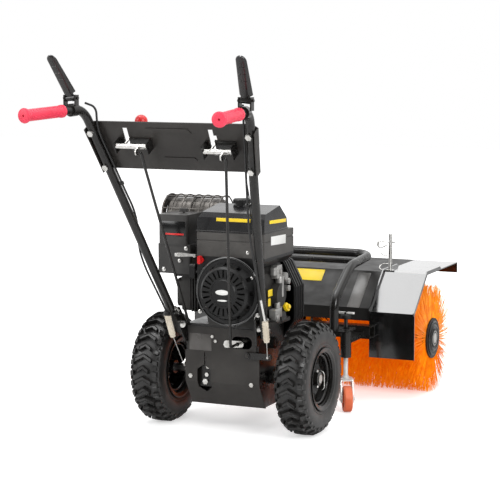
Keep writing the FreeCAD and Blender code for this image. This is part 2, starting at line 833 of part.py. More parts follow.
def cable_wire(boot_top, boot_end, end, eye_axis):
    way = (boot_end - boot_top).normalize()
    inner = boot_end - way * 22
    wire = bent_bar([inner, boot_end, end], [0, 20, 0], wire_r)
    nipple = rod(3.2, end - eye_axis * 2.5, end + eye_axis * 11)
    return fuse(wire, nipple)


keep("cable_wire_right", cable_wire(right_boot_top, right_boot_end, right_wire_end, V(0, 1, 0)))
keep("cable_wire_left", cable_wire(left_boot_top, left_boot_end, left_wire_end, V(1, 0, 0)))


def slotted_arm(pivot, end, axis_dir, thick_low, thick_high, axis):
    run = end - pivot
    length = (V(run.x, 0, run.z) if axis == "y" else V(0, run.y, run.z)).Length
    outline = [(-9, -9), (length + 9, -9), (length + 9, 9), (-9, 9)]
    plate = rounded_prism(outline, axis, thick_low, thick_high, 6)
    boss = turned([(clutch_pivot_r + run_fit, thick_low - 3), (9, thick_low - 3),
                   (9, thick_high), (clutch_pivot_r + run_fit, thick_high)], axis, V(0, 0, 0))
    cuts = [rod(clutch_pivot_r + run_fit, axis_dir * (thick_low - 4), axis_dir * (thick_high + 1)),
            rod(5.3, axis_dir * (thick_low - 4) + across(axis, length),
                axis_dir * (thick_high + 1) + across(axis, length))]
    return fuse(plate, boss).cut(cuts)


def across(axis, length):
    return V(length, 0, 0) if axis == "y" else V(0, length, 0)


right_arm = slotted_arm(right_arm_pivot, right_wire_end, V(0, 1, 0), -9, -4, "y")
right_arm.translate(right_arm_pivot)
keep("clutch_arm_right", right_arm)
left_arm = slotted_arm(left_arm_pivot, left_wire_end, V(1, 0, 0), -13.5, -8.5, "x")
left_run_y = left_wire_end.y - left_arm_pivot.y
left_run_z = left_wire_end.z - left_arm_pivot.z
left_arm.rotate(V(0, 0, 0), V(1, 0, 0), math.degrees(math.atan2(left_run_z, left_run_y)))
left_arm.translate(left_arm_pivot)
keep("clutch_arm_left", left_arm)

# ---- engine -----------------------------------------------------------------------------
case_outline = [(-40, deck_z), (108, deck_z), (116, 350), (116, 470), (100, shroud_low),
                (-20, shroud_low), (-44, 470), (-44, 345)]
engine = prism(case_outline, "y", case_rear, case_front)
foot_plate = rounded_prism([(-54, -80), (145, -80), (145, 74), (-54, 74)], "z", deck_z, deck_z + 10, 12)
cylinder = rod(40, V(-40, 0, 401), V(-124, 0, 401))
fins = [block(-52 - 9 * i - 4, -52 - 9 * i, -56, 56, 346, 456) for i in range(8)]
head = rounded_prism([(-56, 348), (56, 348), (56, 454), (-56, 454)], "x", -150, -122, 8)
valve_cover = rounded_prism([(-42, 356), (42, 356), (42, 440), (-42, 440)], "x", -172, -149, 14)
carburettor = rounded_prism([(-160, -78), (-104, -78), (-104, -20), (-160, -20)], "z", 452, 461, 6)
intake = block(-146, -114, -56, -24, 450, 461)
side_boss = rod(34, V(112, 10, 402), V(141, 10, 402))
drain_foot = rounded_prism([(104, 322), (148, 322), (142, 350), (104, 356)], "y", 0, 36, 4)
filler_axis = V(0.94, 0, 0.34)
filler_base = V(112, 52, 350)
filler = rod(11, filler_base, filler_base + filler_axis * 24)
front_boss = rod(38, V(crank_x, case_front - 2, crank_z), V(crank_x, case_front + 6, crank_z))
engine = fuse(engine, foot_plate, cylinder, *fins, head, valve_cover, carburettor, intake,
              side_boss, drain_foot, filler, front_boss)
engine = engine.cut(rod(crank_r + free_gap, V(crank_x, case_rear - 1, crank_z),
                        V(crank_x, case_front + 10, crank_z)))
engine = engine.cut(rod(6.3, filler_base + filler_axis * 12, filler_base + filler_axis * 28))
keep("engine_block", engine)

oil_cap = fuse(rod(6, filler_base + filler_axis * 14, filler_base + filler_axis * 26),
               rod(13, filler_base + filler_axis * 24.4, filler_base + filler_axis * 32),
               rod(7, filler_base + filler_axis * 31, filler_base + filler_axis * 39))
keep("oil_cap", oil_cap)

shroud_outline = [(shroud_left, shroud_low), (shroud_left, tank_low), (shroud_right, tank_low),
                  (shroud_right, shroud_low + 20), (shroud_right - 22, shroud_low)]
housing = prism(shroud_outline, "y", case_rear, case_front - 3)
rear_panel = prism(shroud_outline, "y", ring_rear + 15, case_rear)
fan_ring = rod(ring_r, V(crank_x, ring_rear, crank_z), V(crank_x, case_rear, crank_z))
rope_boss = block(shroud_left, shroud_left + 20, ring_rear + 16, case_rear, 452, shroud_low + 2)
housing = fuse(housing, rear_panel, fan_ring, rope_boss)
housing = housing.cut(rod(ring_r - 5, V(crank_x, ring_rear - 1, crank_z),
                          V(crank_x, case_rear - 4, crank_z)))
housing = housing.cut(rod(crank_r + 3, V(crank_x, case_rear - 6, crank_z),
                          V(crank_x, case_rear + 1, crank_z)))
groove = prism([(shroud_left - 5, 569), (shroud_left - 5, 572), (shroud_right + 5, 572),
                (shroud_right + 5, 569)], "y", ring_rear, case_front)
core = block(shroud_left + 2, shroud_right - 2, ring_rear + 17, case_front - 5, 560, 580)
housing = housing.cut(groove.cut(core))
notch_y = ring_rear + 30
housing = housing.cut(rod(6, V(shroud_left - 5, notch_y, 475), V(shroud_left + 12, notch_y, 475)))


def radial_slots(inner, outer, count, width, low, high):
    cuts = []
    for step in range(count):
        shape = block(inner, outer, low, high, -width / 2, width / 2)
        shape.rotate(V(0, 0, 0), V(0, 1, 0), 360.0 / count * step)
        cuts.append(shape)
    return cuts


def make_recoil():
    back = ring_rear
    face = ring_rear - recoil_depth
    shell = turned([(ring_r - 1, back), (ring_r - 1, back - 4), (recoil_r + 10, back - 5),
                    (recoil_r, face + 6), (recoil_r - 6, face), (0, face), (0, face + 4),
                    (recoil_r - 8, face + 4), (recoil_r - 4, face + 8), (recoil_r + 6, back - 1),
                    (recoil_r + 8, back)], "y", V(0, 0, 0))
    shell = shell.cut(radial_slots(44, recoil_r - 8, 24, 5, face - 2, face + 5))
    shell = shell.cut(radial_slots(recoil_r - 5, recoil_r + 12, 12, 12, face + 12, back - 7))
    badge = turned([(0, face - 3), (36, face - 3), (39, face), (0, face)], "y", V(0, 0, 0))
    return fuse(shell, badge)


recoil = make_recoil()
recoil.translate(V(crank_x, 0, crank_z))
keep("recoil_cover", recoil)

fan_face = ring_rear + 6
flywheel = fuse(
    rod(crank_r, V(0, fan_face, 0), V(0, case_front + 62, 0)),
    turned([(0, fan_face), (84, fan_face), (84, fan_face + 8), (70, case_rear - 8),
            (0, case_rear - 8)], "y", V(0, 0, 0)),
    turned([(0, case_front + 24), (38, case_front + 24), (38, case_front + 28),
            (28, case_front + 36), (38, case_front + 44), (38, case_front + 48),
            (0, case_front + 48)], "y", V(0, 0, 0)))
blades = []
for step in range(16):
    blade = block(44, 82, fan_face - 5, fan_face, -1.5, 1.5)
    blade.rotate(V(0, 0, 0), V(0, 1, 0), 22.5 * step)
    blades.append(blade)
flywheel = fuse(flywheel, *blades)
flywheel.translate(V(crank_x, 0, crank_z))
keep("flywheel", flywheel)

tank_side = [(ring_rear + 15, tank_low), (ring_rear + 16, 636), (ring_rear + 26, 650), (-25, tank_high),
             (25, 629), (34, tank_low)]
tank = prism(tank_side, "x", shroud_left, shroud_right)
slant = prism([(shroud_left - 1, 624), (shroud_left - 1, 700), (shroud_left + 36, 700)], "y", -200, 100)
tank = tank.cut(slant)
cap_x = 33.0
cap_y = -30.0
neck = rod(19, V(cap_x, cap_y, tank_high - 14), V(cap_x, cap_y, tank_high + 2))
tank = fuse(tank, neck).cut(rod(15, V(cap_x, cap_y, tank_high - 12), V(cap_x, cap_y, tank_high + 4)))
keep("fuel_tank", tank)
cap = turned([(0, -10), (14.5, -10), (14.5, 2.4), (26, 2.4), (26, 12), (22, 16), (0, 16)], "z",
             V(cap_x, cap_y, tank_high))
grooves = []
for step in range(18):
    groove = rod(1.6, V(26.4, 0, -20), V(26.4, 0, 30))
    groove.rotate(V(0, 0, 0), V(0, 0, 1), 20 * step)
    groove.translate(V(cap_x, cap_y, tank_high))
    grooves.append(groove)
keep("fuel_cap", cap.cut(grooves))

cleaner_low = 461.0
cleaner_top = 634.0
upper = rounded_prism([(-208, -95), (-112, -95), (-112, 13), (-208, 13)], "z", 546, cleaner_top, 14)
lower = rounded_prism([(-212, -90), (-104, -90), (-104, 10), (-212, 10)], "z", cleaner_low, 547, 8)
bridge = block(-106, shroud_left - 0.2, -60, 0, 505, 540)
wing = fuse(rod(4, V(-150, -40, cleaner_top - 1), V(-150, -40, cleaner_top + 12)),
            rounded_prism([(-164, -44), (-136, -44), (-136, -36), (-164, -36)], "z",
                          cleaner_top + 4, cleaner_top + 14, 3.5))
cleaner = fuse(upper, lower, bridge, wing)
choke_pivot = V(-146, -90, 517)
cleaner = cleaner.cut(rod(3 + run_fit, choke_pivot - V(0, 4, 0), choke_pivot + V(0, 12, 0)))
keep("air_cleaner", cleaner)
choke = fuse(rounded_prism([(-154, 512), (-138, 512), (-82, 515), (-82, 521), (-138, 524),
                            (-154, 522)], "y", -93.3, -90.3, 2),
             rod(3, choke_pivot - V(0, 5, 0), choke_pivot + V(0, 10, 0)),
             rod(5, V(-86, -104, 518), V(-86, -91, 518)))
keep("choke_lever", choke)
switch_at = V(-48, ring_rear + 15, 512)
housing = housing.cut(rod(4 + run_fit, switch_at - V(0, 2, 0), switch_at + V(0, 10, 0)))
keep("blower_housing", housing)
switch = fuse(rod(4, switch_at - V(0, 4, 0), switch_at + V(0, 8, 0)),
              rod(9, switch_at - V(0, 5, 0), switch_at - V(0, seat_gap, 0)),
              rounded_prism([(-5, -10), (5, -10), (5, 13), (-5, 13)], "y", -16, -4, 3).translated(
                  switch_at))
keep("engine_switch", switch)

handle_at = V(shroud_left - seat_gap, ring_rear + 30, 475)
pull = fuse(rod(5, handle_at + V(8, 0, 0), handle_at - V(12, 0, 0)),
            rod(9, handle_at - V(2, 0, 0), handle_at),
            rounded_prism([(-9, -22), (9, -22), (9, 22), (-9, 22)], "x", -28, -11, 8).translated(
                handle_at))
keep("recoil_handle", pull)

muffler = turned([(0, 0), (muffler_r - 8, 0), (muffler_r, 8),
                  (muffler_r, muffler_right - muffler_left - 8),
                  (muffler_r - 8, muffler_right - muffler_left), (0, muffler_right - muffler_left)],
                 "x", V(muffler_left, muffler_y, muffler_z))
seam = turned([(muffler_r - 2, 80), (muffler_r + 3, 80), (muffler_r + 3, 84), (muffler_r - 2, 84)],
              "x", V(muffler_left, muffler_y, muffler_z))
pipe = rod(15, V(-136, 42, 440), V(-136, muffler_y, muffler_z - 30))
spout_root = V(muffler_left + 24, muffler_y, muffler_z)
spout = rod(11, spout_root, spout_root + V(0, 66, -10))
muffler = fuse(muffler, seam)
muffler_len = muffler_right - muffler_left
muffler = muffler.cut(turned([(0, 3), (muffler_r - 10, 3), (muffler_r - 3, 11),
                              (muffler_r - 3, muffler_len - 11), (muffler_r - 10, muffler_len - 3),
                              (0, muffler_len - 3)], "x", V(muffler_left, muffler_y, muffler_z)))
muffler = fuse(muffler, pipe, spout)
muffler = muffler.cut(block(-170, -100, 0, 60, 400, 454))
keep("muffler", muffler)

cage_r = muffler_r + guard_gap
cage_left = muffler_left - 9
cage_right = muffler_right + 7
hoops = []
for step in range(7):
    x = cage_left + 3 + step * (cage_right - cage_left - 8) / 6
    hoops.append(turned([(cage_r, x), (cage_r + 3, x), (cage_r + 3, x + 3), (cage_r, x + 3)], "x",
                        V(0, muffler_y, muffler_z)))
bars = []
for step in range(8):
    bar = block(cage_left, cage_right, -1.5, 1.5, cage_r - 0.5, cage_r + 3)
    bar.rotate(V(0, 0, 0), V(1, 0, 0), 22.5 + 45 * step)
    bar.translate(V(0, muffler_y, muffler_z))
    bars.append(bar)
end_ring = turned([(cage_r - 26, cage_left), (cage_r + 1, cage_left), (cage_r + 1, cage_left + 3),
                   (cage_r - 26, cage_left + 3)], "x", V(0, muffler_y, muffler_z))
spacers = []
for angle in (67.5, 247.5):
    spacer = block(-192, -184, -4, 4, muffler_r + 0.2, cage_r + 1)
    spacer.rotate(V(0, 0, 0), V(1, 0, 0), angle)
    spacer.translate(V(0, muffler_y, muffler_z))
    spacers.append(spacer)
cage = fuse(*hoops, *bars, end_ring, *spacers)
cage = cage.cut(rod(18, V(-136, 42, 440), V(-136, muffler_y, muffler_z - 30)))
cage = cage.cut(rod(14, spout_root, spout_root + V(0, 90, -14)))
keep("muffler_guard", cage)

belt_outline = [(-62, 250), (105, 250), (shroud_right, 316), (shroud_right, 416), (113, 490),
                (-14, 498), (-62, 446)]
belt_low = front_y
belt_high = 160.0
belt = rounded_prism(belt_outline, "y", belt_low, belt_high, 14)
hollow_wire = rounded_path([V(x, belt_low, z) for x, z in belt_outline], [14] * 7, True)
hollow = Part.Face(hollow_wire.makeOffset2D(-wall)).extrude(V(0, belt_high - belt_low - wall, 0))
ribs = []
for step in range(4):
    wire = rounded_path([V(x, belt_low + 8 + 16 * step, z) for x, z in belt_outline], [14] * 7, True)
    ribs.append(Part.Face(wire.makeOffset2D(2.5)).extrude(V(0, 6, 0)))
keep("belt_cover", fuse(belt, *ribs).cut(hollow))

# ---- swivel fork and head ---------------------------------------------------------------
plate_outline = [(-45, front_y), (45, front_y), (45, swivel_y - 10), (-45, swivel_y - 10)]
fork_solids = [block(-60, 60, front_y, front_y + 8, fork_low - 4, 249.0)]
for z in (fork_high - fork_t, fork_low):
    fork_solids.append(prism(plate_outline, "z", z, z + fork_t))
    fork_solids.append(rod(45, V(0, swivel_y - 10, z), V(0, swivel_y - 10, z + fork_t)))
fork = fuse(*fork_solids)
fork = fork.cut(rod(swivel_r + run_fit, V(0, swivel_y, 90), V(0, swivel_y, 260)))
keep("swivel_fork", fork)

barrel_low = fork_low + fork_t + free_gap
barrel_high = fork_high - fork_t - free_gap
gearbox = fuse(
    rod(34, V(0, swivel_y, barrel_low), V(0, swivel_y, barrel_high)),
    rod(swivel_r, V(0, swivel_y, fork_low - 6), V(0, swivel_y, fork_high + 6)),
    rod(17, V(0, swivel_y, fork_high + free_gap), V(0, swivel_y, fork_high + 8)),
    rod(17, V(0, swivel_y, fork_low - 8), V(0, swivel_y, fork_low - free_gap)),
    rod(neck_r, V(0, swivel_y, brush_z), V(0, brush_y - 20, brush_z)),
    turned([(0, brush_y - 78), (38, brush_y - 78), (38, brush_y - 66), (0, brush_y - 66)], "y",
           V(0, 0, brush_z)),
    turned([(0, -gearbox_w / 2), (gearbox_r - 8, -gearbox_w / 2), (gearbox_r, -gearbox_w / 2 + 8),
            (gearbox_r, gearbox_w / 2 - 8), (gearbox_r - 8, gearbox_w / 2), (0, gearbox_w / 2)],
           "x", V(0, brush_y, brush_z)))
gearbox = gearbox.cut(rod(shaft_r + run_fit, V(-60, brush_y, brush_z), V(60, brush_y, brush_z)))
keep("head_gearbox", gearbox)

half_brush = brush_w / 2
core_start = gearbox_w / 2 + 4
bristle_start = 46.0
end_t = 12.0
brush_solids = [rod(shaft_r, V(-half_brush + 12, 0, 0), V(half_brush - 12, 0, 0))]
for side in (1, -1):
    a = V(side * core_start, 0, 0)
    b = V(side * (half_brush - end_t), 0, 0)
    brush_solids.append(rod(core_r, a, b))
    steps = [(0, 65, 5), (4, 52, 4), (7, 30, 4), (9, 13, 3)]
    for start, radius, depth in steps:
        near = V(side * (half_brush - end_t + start), 0, 0)
        brush_solids.append(rod(radius, near, near + V(side * depth, 0, 0)))
brush_core = fuse(*brush_solids)
for side in (1, -1):
    near = side * (core_start + 8)
    far = side * (half_brush - end_t - 8)
    brush_core = brush_core.cut(turned([(shaft_r, near), (core_r - 3, near), (core_r - 3, far),
                                        (shaft_r, far)], "x", V(0, 0, 0)))
brush_core.translate(V(0, brush_y, brush_z))
keep("brush_core", brush_core)

wafers = []
pitch = (half_brush - end_t - bristle_start - wafer_t / 2) / wafers_per_side
for side in (1, -1):
    for index in range(wafers_per_side):
        x = bristle_start + index * pitch
        rim_x = x + pitch * 0.42
        profile = [(core_r + 0.1, x), (brush_d / 2, rim_x), (brush_d / 2, rim_x + wafer_t),
                   (core_r + 0.1, x + wafer_t)]
        if index % 2:
            profile = [(core_r + 0.1, x), (brush_d / 2, x), (brush_d / 2, x + wafer_t),
                       (core_r + 0.1, x + wafer_t)]
        profile = [(r, side * t) for r, t in profile]
        wafers.append(turned(profile, "x", V(0, brush_y, brush_z)))
keep("brush_bristles", *wafers)


top_in = hood_top - hood_t
side_outline = [(hood_rear, hood_low), (hood_rear, hood_knee), (slope_end, hood_top),
                (hood_front, hood_top),
                (hood_front, hood_top - lip_drop), (hood_front - hood_t, hood_top - lip_drop),
                (hood_front - hood_t, top_in), (slope_end + 1.2, top_in),
                (hood_rear + hood_t, hood_knee - 1.4), (hood_rear + hood_t, hood_low)]
centre_rear = hood_rear + (centre_low - hood_knee) / (hood_top - hood_knee) * (slope_end - hood_rear)
centre_foot = 253.0
centre_outline = [(centre_rear, centre_foot), (centre_rear, centre_low), (slope_end, hood_top),
                  (hood_front, hood_top),
                  (hood_front, hood_top - lip_drop), (hood_front - hood_t, hood_top - lip_drop),
                  (hood_front - hood_t, top_in), (slope_end + 1.2, top_in),
                  (centre_rear + hood_t, centre_low - 1.4), (centre_rear + hood_t, centre_foot)]
hood_centre = prism(centre_outline, "x", -seam_x, seam_x)


def seam_rib(x_low, x_high):
    lift = 9.0
    outline = [(hood_rear, hood_knee - 6), (hood_rear - 6, hood_knee + 4),
               (slope_end - 4, hood_top + lift), (slope_end + 130, hood_top + lift),
               (slope_end + 140, hood_top), (slope_end, hood_top), (hood_rear, hood_knee)]
    return prism(outline, "x", x_low, x_high)


hangers = []
for side in (1, -1):
    hangers.append(prism([(hood_rear - 1, 206), (600, 206), (660, 360), (slope_end + 60, top_in),
                          (slope_end + 1.2, top_in), (575, 346), (hood_rear - 1, 228)], "x",
                         side * 32 - 4, side * 32 + 4))
gearbox_web = block(-36, 36, 556, 604, 196, 212)
web = fuse(*hangers, gearbox_web)
web = web.cut(rod(neck_r, V(0, 500, brush_z), V(0, 660, brush_z)))
keep("hood_centre", hood_centre)


def post(x):
    neck_top = post_top - post_tip
    shape = fuse(rod(post_r, V(x, post_y, hood_top - 1), V(x, post_y, neck_top - post_groove)),
                 rod(post_r - 1, V(x, post_y, hood_top), V(x, post_y, neck_top + 1)),
                 rod(post_r, V(x, post_y, neck_top), V(x, post_y, post_top)))
    flange = rod(14, V(x, post_y, hood_top), V(x, post_y, hood_top + 4))
    return fuse(shape, flange)


def make_hood():
    sheet_metal = prism(side_outline, "x", seam_x, half_brush - 3)
    rib = seam_rib(seam_x, seam_x + 4)
    rib_end = seam_rib(half_brush - 7, half_brush - 3)
    hood = fuse(sheet_metal, rib, rib_end, post(post_x))
    for z in (clip_z, hood_top + 20, hood_top + 60):
        hood = hood.cut(rod(2.4, V(post_x - 20, post_y, z), V(post_x + 20, post_y, z)))
    return hood


hood = make_hood()
keep("hood_right", hood)
keep("hood_left", mirrored(hood))


def r_clip():
    leg = rod(2, V(post_x + 16, post_y, clip_z), V(post_x - 30, post_y, clip_z))
    loop = bent_bar([V(post_x - 29, post_y, clip_z), V(post_x - 44, post_y, clip_z),
                     V(post_x - 44, post_y, clip_z - 18), V(post_x - 26, post_y, clip_z - 18),
                     V(post_x - 10, post_y, clip_z - 9)], [0, 8, 8, 9, 0], 2)
    return fuse(leg, loop)


clip = r_clip()
keep("r_clips", clip, mirrored(clip))

beam_low = brush_z + neck_r
beam_high = beam_low + beam_h
beam = block(-beam_x, beam_x, hood_rear - beam_depth, hood_rear, beam_low, beam_high)
beam_rear = hood_rear - beam_depth
beam_solids = [beam, block(-36, 36, beam_rear, hood_rear, brush_z - neck_r - 6, beam_low + 1)]
for side in (1, -1):
    x = side * caster_x
    beam_solids.append(block(x - 17, x + 17, caster_y, beam_rear + 1, beam_low + 4, beam_low + 20))
    beam_solids.append(rod(sleeve_r, V(x, caster_y, sleeve_low), V(x, caster_y, sleeve_high)))
    outer_x = x + side * 24
    inner_x = side * (guard_x - 22)
    beam_solids.append(block(min(outer_x, inner_x), max(outer_x, inner_x), 286, 374,
                             sleeve_high - 5, sleeve_high))
frame = fuse(*beam_solids, web)
frame = frame.cut(block(-beam_x - 1, beam_x + 1, hood_rear - beam_depth + wall, hood_rear - wall,
                        beam_low + wall, beam_high - wall))
for side in (1, -1):
    x = side * caster_x
    sleeve_foot = V(x, caster_y, sleeve_low - 5)
    frame = frame.cut(rod(slider_r + free_gap, sleeve_foot, V(x, caster_y, sleeve_high + 5)))
frame = frame.cut(rod(neck_r + run_fit, V(0, 400, brush_z), V(0, 650, brush_z)))
keep("head_frame", frame)

side_path = [V(guard_x, 304, sleeve_high), V(guard_x, 304, 346), V(guard_x, 440, guard_high - 14),
             V(guard_x, guard_front, guard_high)]
full_path = side_path + [mirror_point(p) for p in reversed(side_path)]
guard = bent_bar(full_path, [0, 60, 120, 60, 60, 120, 60, 0], guard_r)
cross_y = 520.0
cross_z = guard_high - 8
cross_tube = rod(guard_r - 3, V(-guard_x, cross_y, cross_z), V(guard_x, cross_y, cross_z))
keep("guard_tube", fuse(guard, cross_tube))

# ---- casters ----------------------------------------------------------------------------
stem_top = sleeve_high - 14
fork_plate = 2 * caster_wheel_r + 18
crank_base = sleeve_high + caster_travel + 0.3


def make_slider():
    body = fuse(rod(slider_r, V(0, 0, sleeve_low + 6), V(0, 0, sleeve_high - 2)),
                rod(spindle_r, V(0, 0, sleeve_high - 3), V(0, 0, crank_base + 20)))
    return body.cut(rod(stem_r + run_fit, V(0, 0, sleeve_low), V(0, 0, stem_top)))


def make_caster_crank():
    star = turned([(spindle_r + run_fit, crank_base), (15, crank_base), (17, crank_base + 4),
                   (17, crank_base + 12), (14, crank_base + 15), (spindle_r + run_fit, crank_base + 15)],
                  "z", V(0, 0, 0))
    bar = rounded_prism([(-28, -5), (28, -5), (28, 5), (-28, 5)], "z", crank_base + 15, crank_base + 21, 4)
    bar = bar.cut(rod(spindle_r + run_fit, V(0, 0, crank_base + 10), V(0, 0, crank_base + 30)))
    return fuse(star, bar)


def make_caster_fork():
    stem = rod(stem_r, V(0, 0, fork_plate - 1), V(0, 0, stem_top - 2))
    collar = rod(10, V(0, 0, fork_plate), V(0, 0, fork_plate + 8))
    plate = rounded_prism([(-22, -30), (22, -30), (22, 22), (-22, 22)], "z", fork_plate - 5,
                          fork_plate, 6)
    legs = []
    for x in (-20, 16):
        leg = prism([(-30, fork_plate - 1), (22, fork_plate - 1), (14, fork_plate - 14),
                     (-caster_trail + 13, caster_wheel_r - 10), (-caster_trail - 11, caster_wheel_r - 10),
                     (-caster_trail - 11, caster_wheel_r + 14)], "x", x, x + 4)
        legs.append(leg)
    pin = rod(5, V(-24, -caster_trail, caster_wheel_r), V(24, -caster_trail, caster_wheel_r))
    return fuse(stem, collar, plate, *legs, pin)


def make_caster_wheel():
    half = caster_wheel_w / 2
    wheel = turned([(5 + run_fit, -half - 2), (12, -half - 2), (12, -half + 4), (24, -half + 6),
                    (28, -half), (caster_wheel_r - 3, -half), (caster_wheel_r, -half + 4),
                    (caster_wheel_r, half - 4), (caster_wheel_r - 3, half), (28, half),
                    (24, half - 6), (12, half - 4), (12, half + 2), (5 + run_fit, half + 2)], "x",
                   V(0, -caster_trail, caster_wheel_r))
    return wheel


def place_caster(shape, turn):
    shape.rotate(V(0, 0, 0), V(0, 0, 1), turn)
    shape.translate(V(caster_x, caster_y, 0))
    return shape


for name, shape, turn in (("caster_slider", make_slider(), 0),
                          ("caster_crank", make_caster_crank(), 0),
                          ("caster_fork", make_caster_fork(), caster_turn),
                          ("caster_wheel", make_caster_wheel(), caster_turn)):
    placed = place_caster(shape, turn)
    keep(name + "_right", placed)
    keep(name + "_left", mirrored(placed))

keep("chassis_bolts", *zinc)

# ---- placing and writing ----------------------------------------------------------------
tail = parts["grip_right"].optimalBoundingBox(False)
rear_limit = tail.YMin
middle_y = (rear_limit + hood_front) / 2
for name, shape in parts.items():
    shape.translate(V(0, -middle_y, 0))
    shape.exportStep("parts/" + name + ".step")
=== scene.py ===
import math
import random

import bmesh
import bpy
from mathutils import Matrix, Vector


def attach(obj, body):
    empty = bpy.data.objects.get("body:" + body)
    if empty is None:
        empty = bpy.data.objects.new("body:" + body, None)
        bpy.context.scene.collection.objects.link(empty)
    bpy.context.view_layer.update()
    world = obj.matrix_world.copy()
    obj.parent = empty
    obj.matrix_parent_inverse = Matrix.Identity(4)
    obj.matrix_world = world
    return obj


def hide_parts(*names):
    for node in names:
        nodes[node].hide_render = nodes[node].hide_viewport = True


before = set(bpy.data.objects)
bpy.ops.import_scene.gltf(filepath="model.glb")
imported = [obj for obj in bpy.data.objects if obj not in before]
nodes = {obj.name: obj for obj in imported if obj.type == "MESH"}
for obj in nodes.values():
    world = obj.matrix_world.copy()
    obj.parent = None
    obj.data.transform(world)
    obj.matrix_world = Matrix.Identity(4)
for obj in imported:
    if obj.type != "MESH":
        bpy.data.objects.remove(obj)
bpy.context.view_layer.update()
bpy.ops.object.select_all(action="DESELECT")
print("frame loaded:", len(nodes), "nodes")

middleY = 0.11819366  # wheel axle stands this far behind the row frame's middle


def place(x, y, z):
    # x, y, z in mm from the wheel axle line on the ground, as metres in the row frame
    return Vector((x / 1000.0, y / 1000.0 - middleY, z / 1000.0))


wheelCentre = {"Left": place(-230.0, 0.0, 165.0), "Right": place(230.0, 0.0, 165.0)}
brushCentre = place(0.0, 705.0, 177.0)


def newMaterial(name):
    material = bpy.data.materials.new(name)
    material.use_nodes = True
    tree = material.node_tree
    shader = tree.nodes["Principled BSDF"]
    return material, tree, shader


def link(tree, a, b):
    tree.links.new(a, b)


def feed(tree, source, socket):
    # links a socket, or sets a plain value
    if isinstance(source, bpy.types.NodeSocket):
        link(tree, source, socket)
    else:
        socket.default_value = source


def mathNode(tree, kind, operation, *sources):
    # kind is Math or VectorMath
    node = tree.nodes.new("ShaderNode" + kind)
    node.operation = operation
    for source, socket in zip(sources, node.inputs):
        feed(tree, source, socket)
    return node


def mixNode(tree, factor, low, high):
    mix = tree.nodes.new("ShaderNodeMix")
    link(tree, factor, mix.inputs["Factor"])
    feed(tree, low, mix.inputs[2])
    feed(tree, high, mix.inputs[3])
    return mix.outputs[0]


def mixColours(tree, factor, low, high):
    mix = tree.nodes.new("ShaderNodeMix")
    mix.data_type = "RGBA"
    link(tree, factor, mix.inputs["Factor"])
    feed(tree, low, mix.inputs[6])
    feed(tree, high, mix.inputs[7])
    return mix.outputs[2]


def noiseNode(tree, coords, scale, detail=4.0, roughness=0.55):
    noise = tree.nodes.new("ShaderNodeTexNoise")
    noise.inputs["Scale"].default_value = scale
    noise.inputs["Detail"].default_value = detail
    noise.inputs["Roughness"].default_value = roughness
    link(tree, coords, noise.inputs["Vector"])
    return noise


def rampNode(tree, source, stops):
    ramp = tree.nodes.new("ShaderNodeValToRGB")
    elements = ramp.color_ramp.elements
    while len(elements) < len(stops):
        elements.new(0.5)
    for element, (at, colour) in zip(elements, stops):
        element.position = at
        element.color = (*colour, 1.0)
    link(tree, source, ramp.inputs["Fac"])
    return ramp


def rangeNode(tree, source, low, high, fromLow=0.3, fromHigh=0.7):
    mapRange = tree.nodes.new("ShaderNodeMapRange")
    mapRange.inputs["From Min"].default_value = fromLow
    mapRange.inputs["From Max"].default_value = fromHigh
    mapRange.inputs["To Min"].default_value = low
    mapRange.inputs["To Max"].default_value = high
    link(tree, source, mapRange.inputs["Value"])
    return mapRange


def bumpNode(tree, height, strength, distance, under=None):
    bump = tree.nodes.new("ShaderNodeBump")
    bump.inputs["Strength"].default_value = strength
    bump.inputs["Distance"].default_value = distance
    link(tree, height, bump.inputs["Height"])
    if under is not None:
        link(tree, under.outputs["Normal"], bump.inputs["Normal"])
    return bump


def makeFinish(name, look):
    # colour that drifts between two tones, a rubbed or dusty third tone, uneven gloss and a fine bump
    material, tree, shader = newMaterial(name)
    coords = tree.nodes.new("ShaderNodeTexCoord").outputs["Object"]
    broad = noiseNode(tree, coords, look.get("broadScale", 9.0), 5.0)
    fine = noiseNode(tree, coords, look["grainScale"], look.get("grainDetail", 3.0))
    base = rampNode(tree, broad.outputs["Fac"], [(0.35, look["dark"]), (0.65, look["light"])])
    colour = base.outputs["Color"]
    if "worn" in look:
        wearNoise = noiseNode(tree, coords, look.get("wearScale", 38.0), 8.0, 0.72)
        wearMask = rangeNode(tree, wearNoise.outputs["Fac"], 0.0, look.get("wearAmount", 0.5),
                             look.get("wearFrom", 0.62), look.get("wearTo", 0.74))
        colour = mixColours(tree, wearMask.outputs["Result"], colour, (*look["worn"], 1.0))
    link(tree, colour, shader.inputs["Base Color"])
    gloss = rangeNode(tree, noiseNode(tree, coords, look.get("glossScale", 24.0), 6.0).outputs["Fac"],
                      look["smooth"], look["rough"])
    link(tree, gloss.outputs["Result"], shader.inputs["Roughness"])
    shader.inputs["Metallic"].default_value = look.get("metal", 0.0)
    shader.inputs["Specular IOR Level"].default_value = look.get("sheen", 0.5)
    # painted light: the finish's own colour is also given off as emission, so the part glows though it is no
    # lamp
    if look.get("paintedGlow"):
        link(tree, colour, shader.inputs["Emission Color"])
        shader.inputs["Emission Strength"].default_value = look["paintedGlow"]
    if look.get("coat"):
        shader.inputs["Coat Weight"].default_value = look["coat"]
        shader.inputs["Coat Roughness"].default_value = look.get("coatRoughness", 0.08)
    bump = bumpNode(tree, fine.outputs["Fac"], look.get("grainStrength", 0.3), look.get("grainDepth", 0.0003))
    link(tree, bump.outputs["Normal"], shader.inputs["Normal"])
    return material


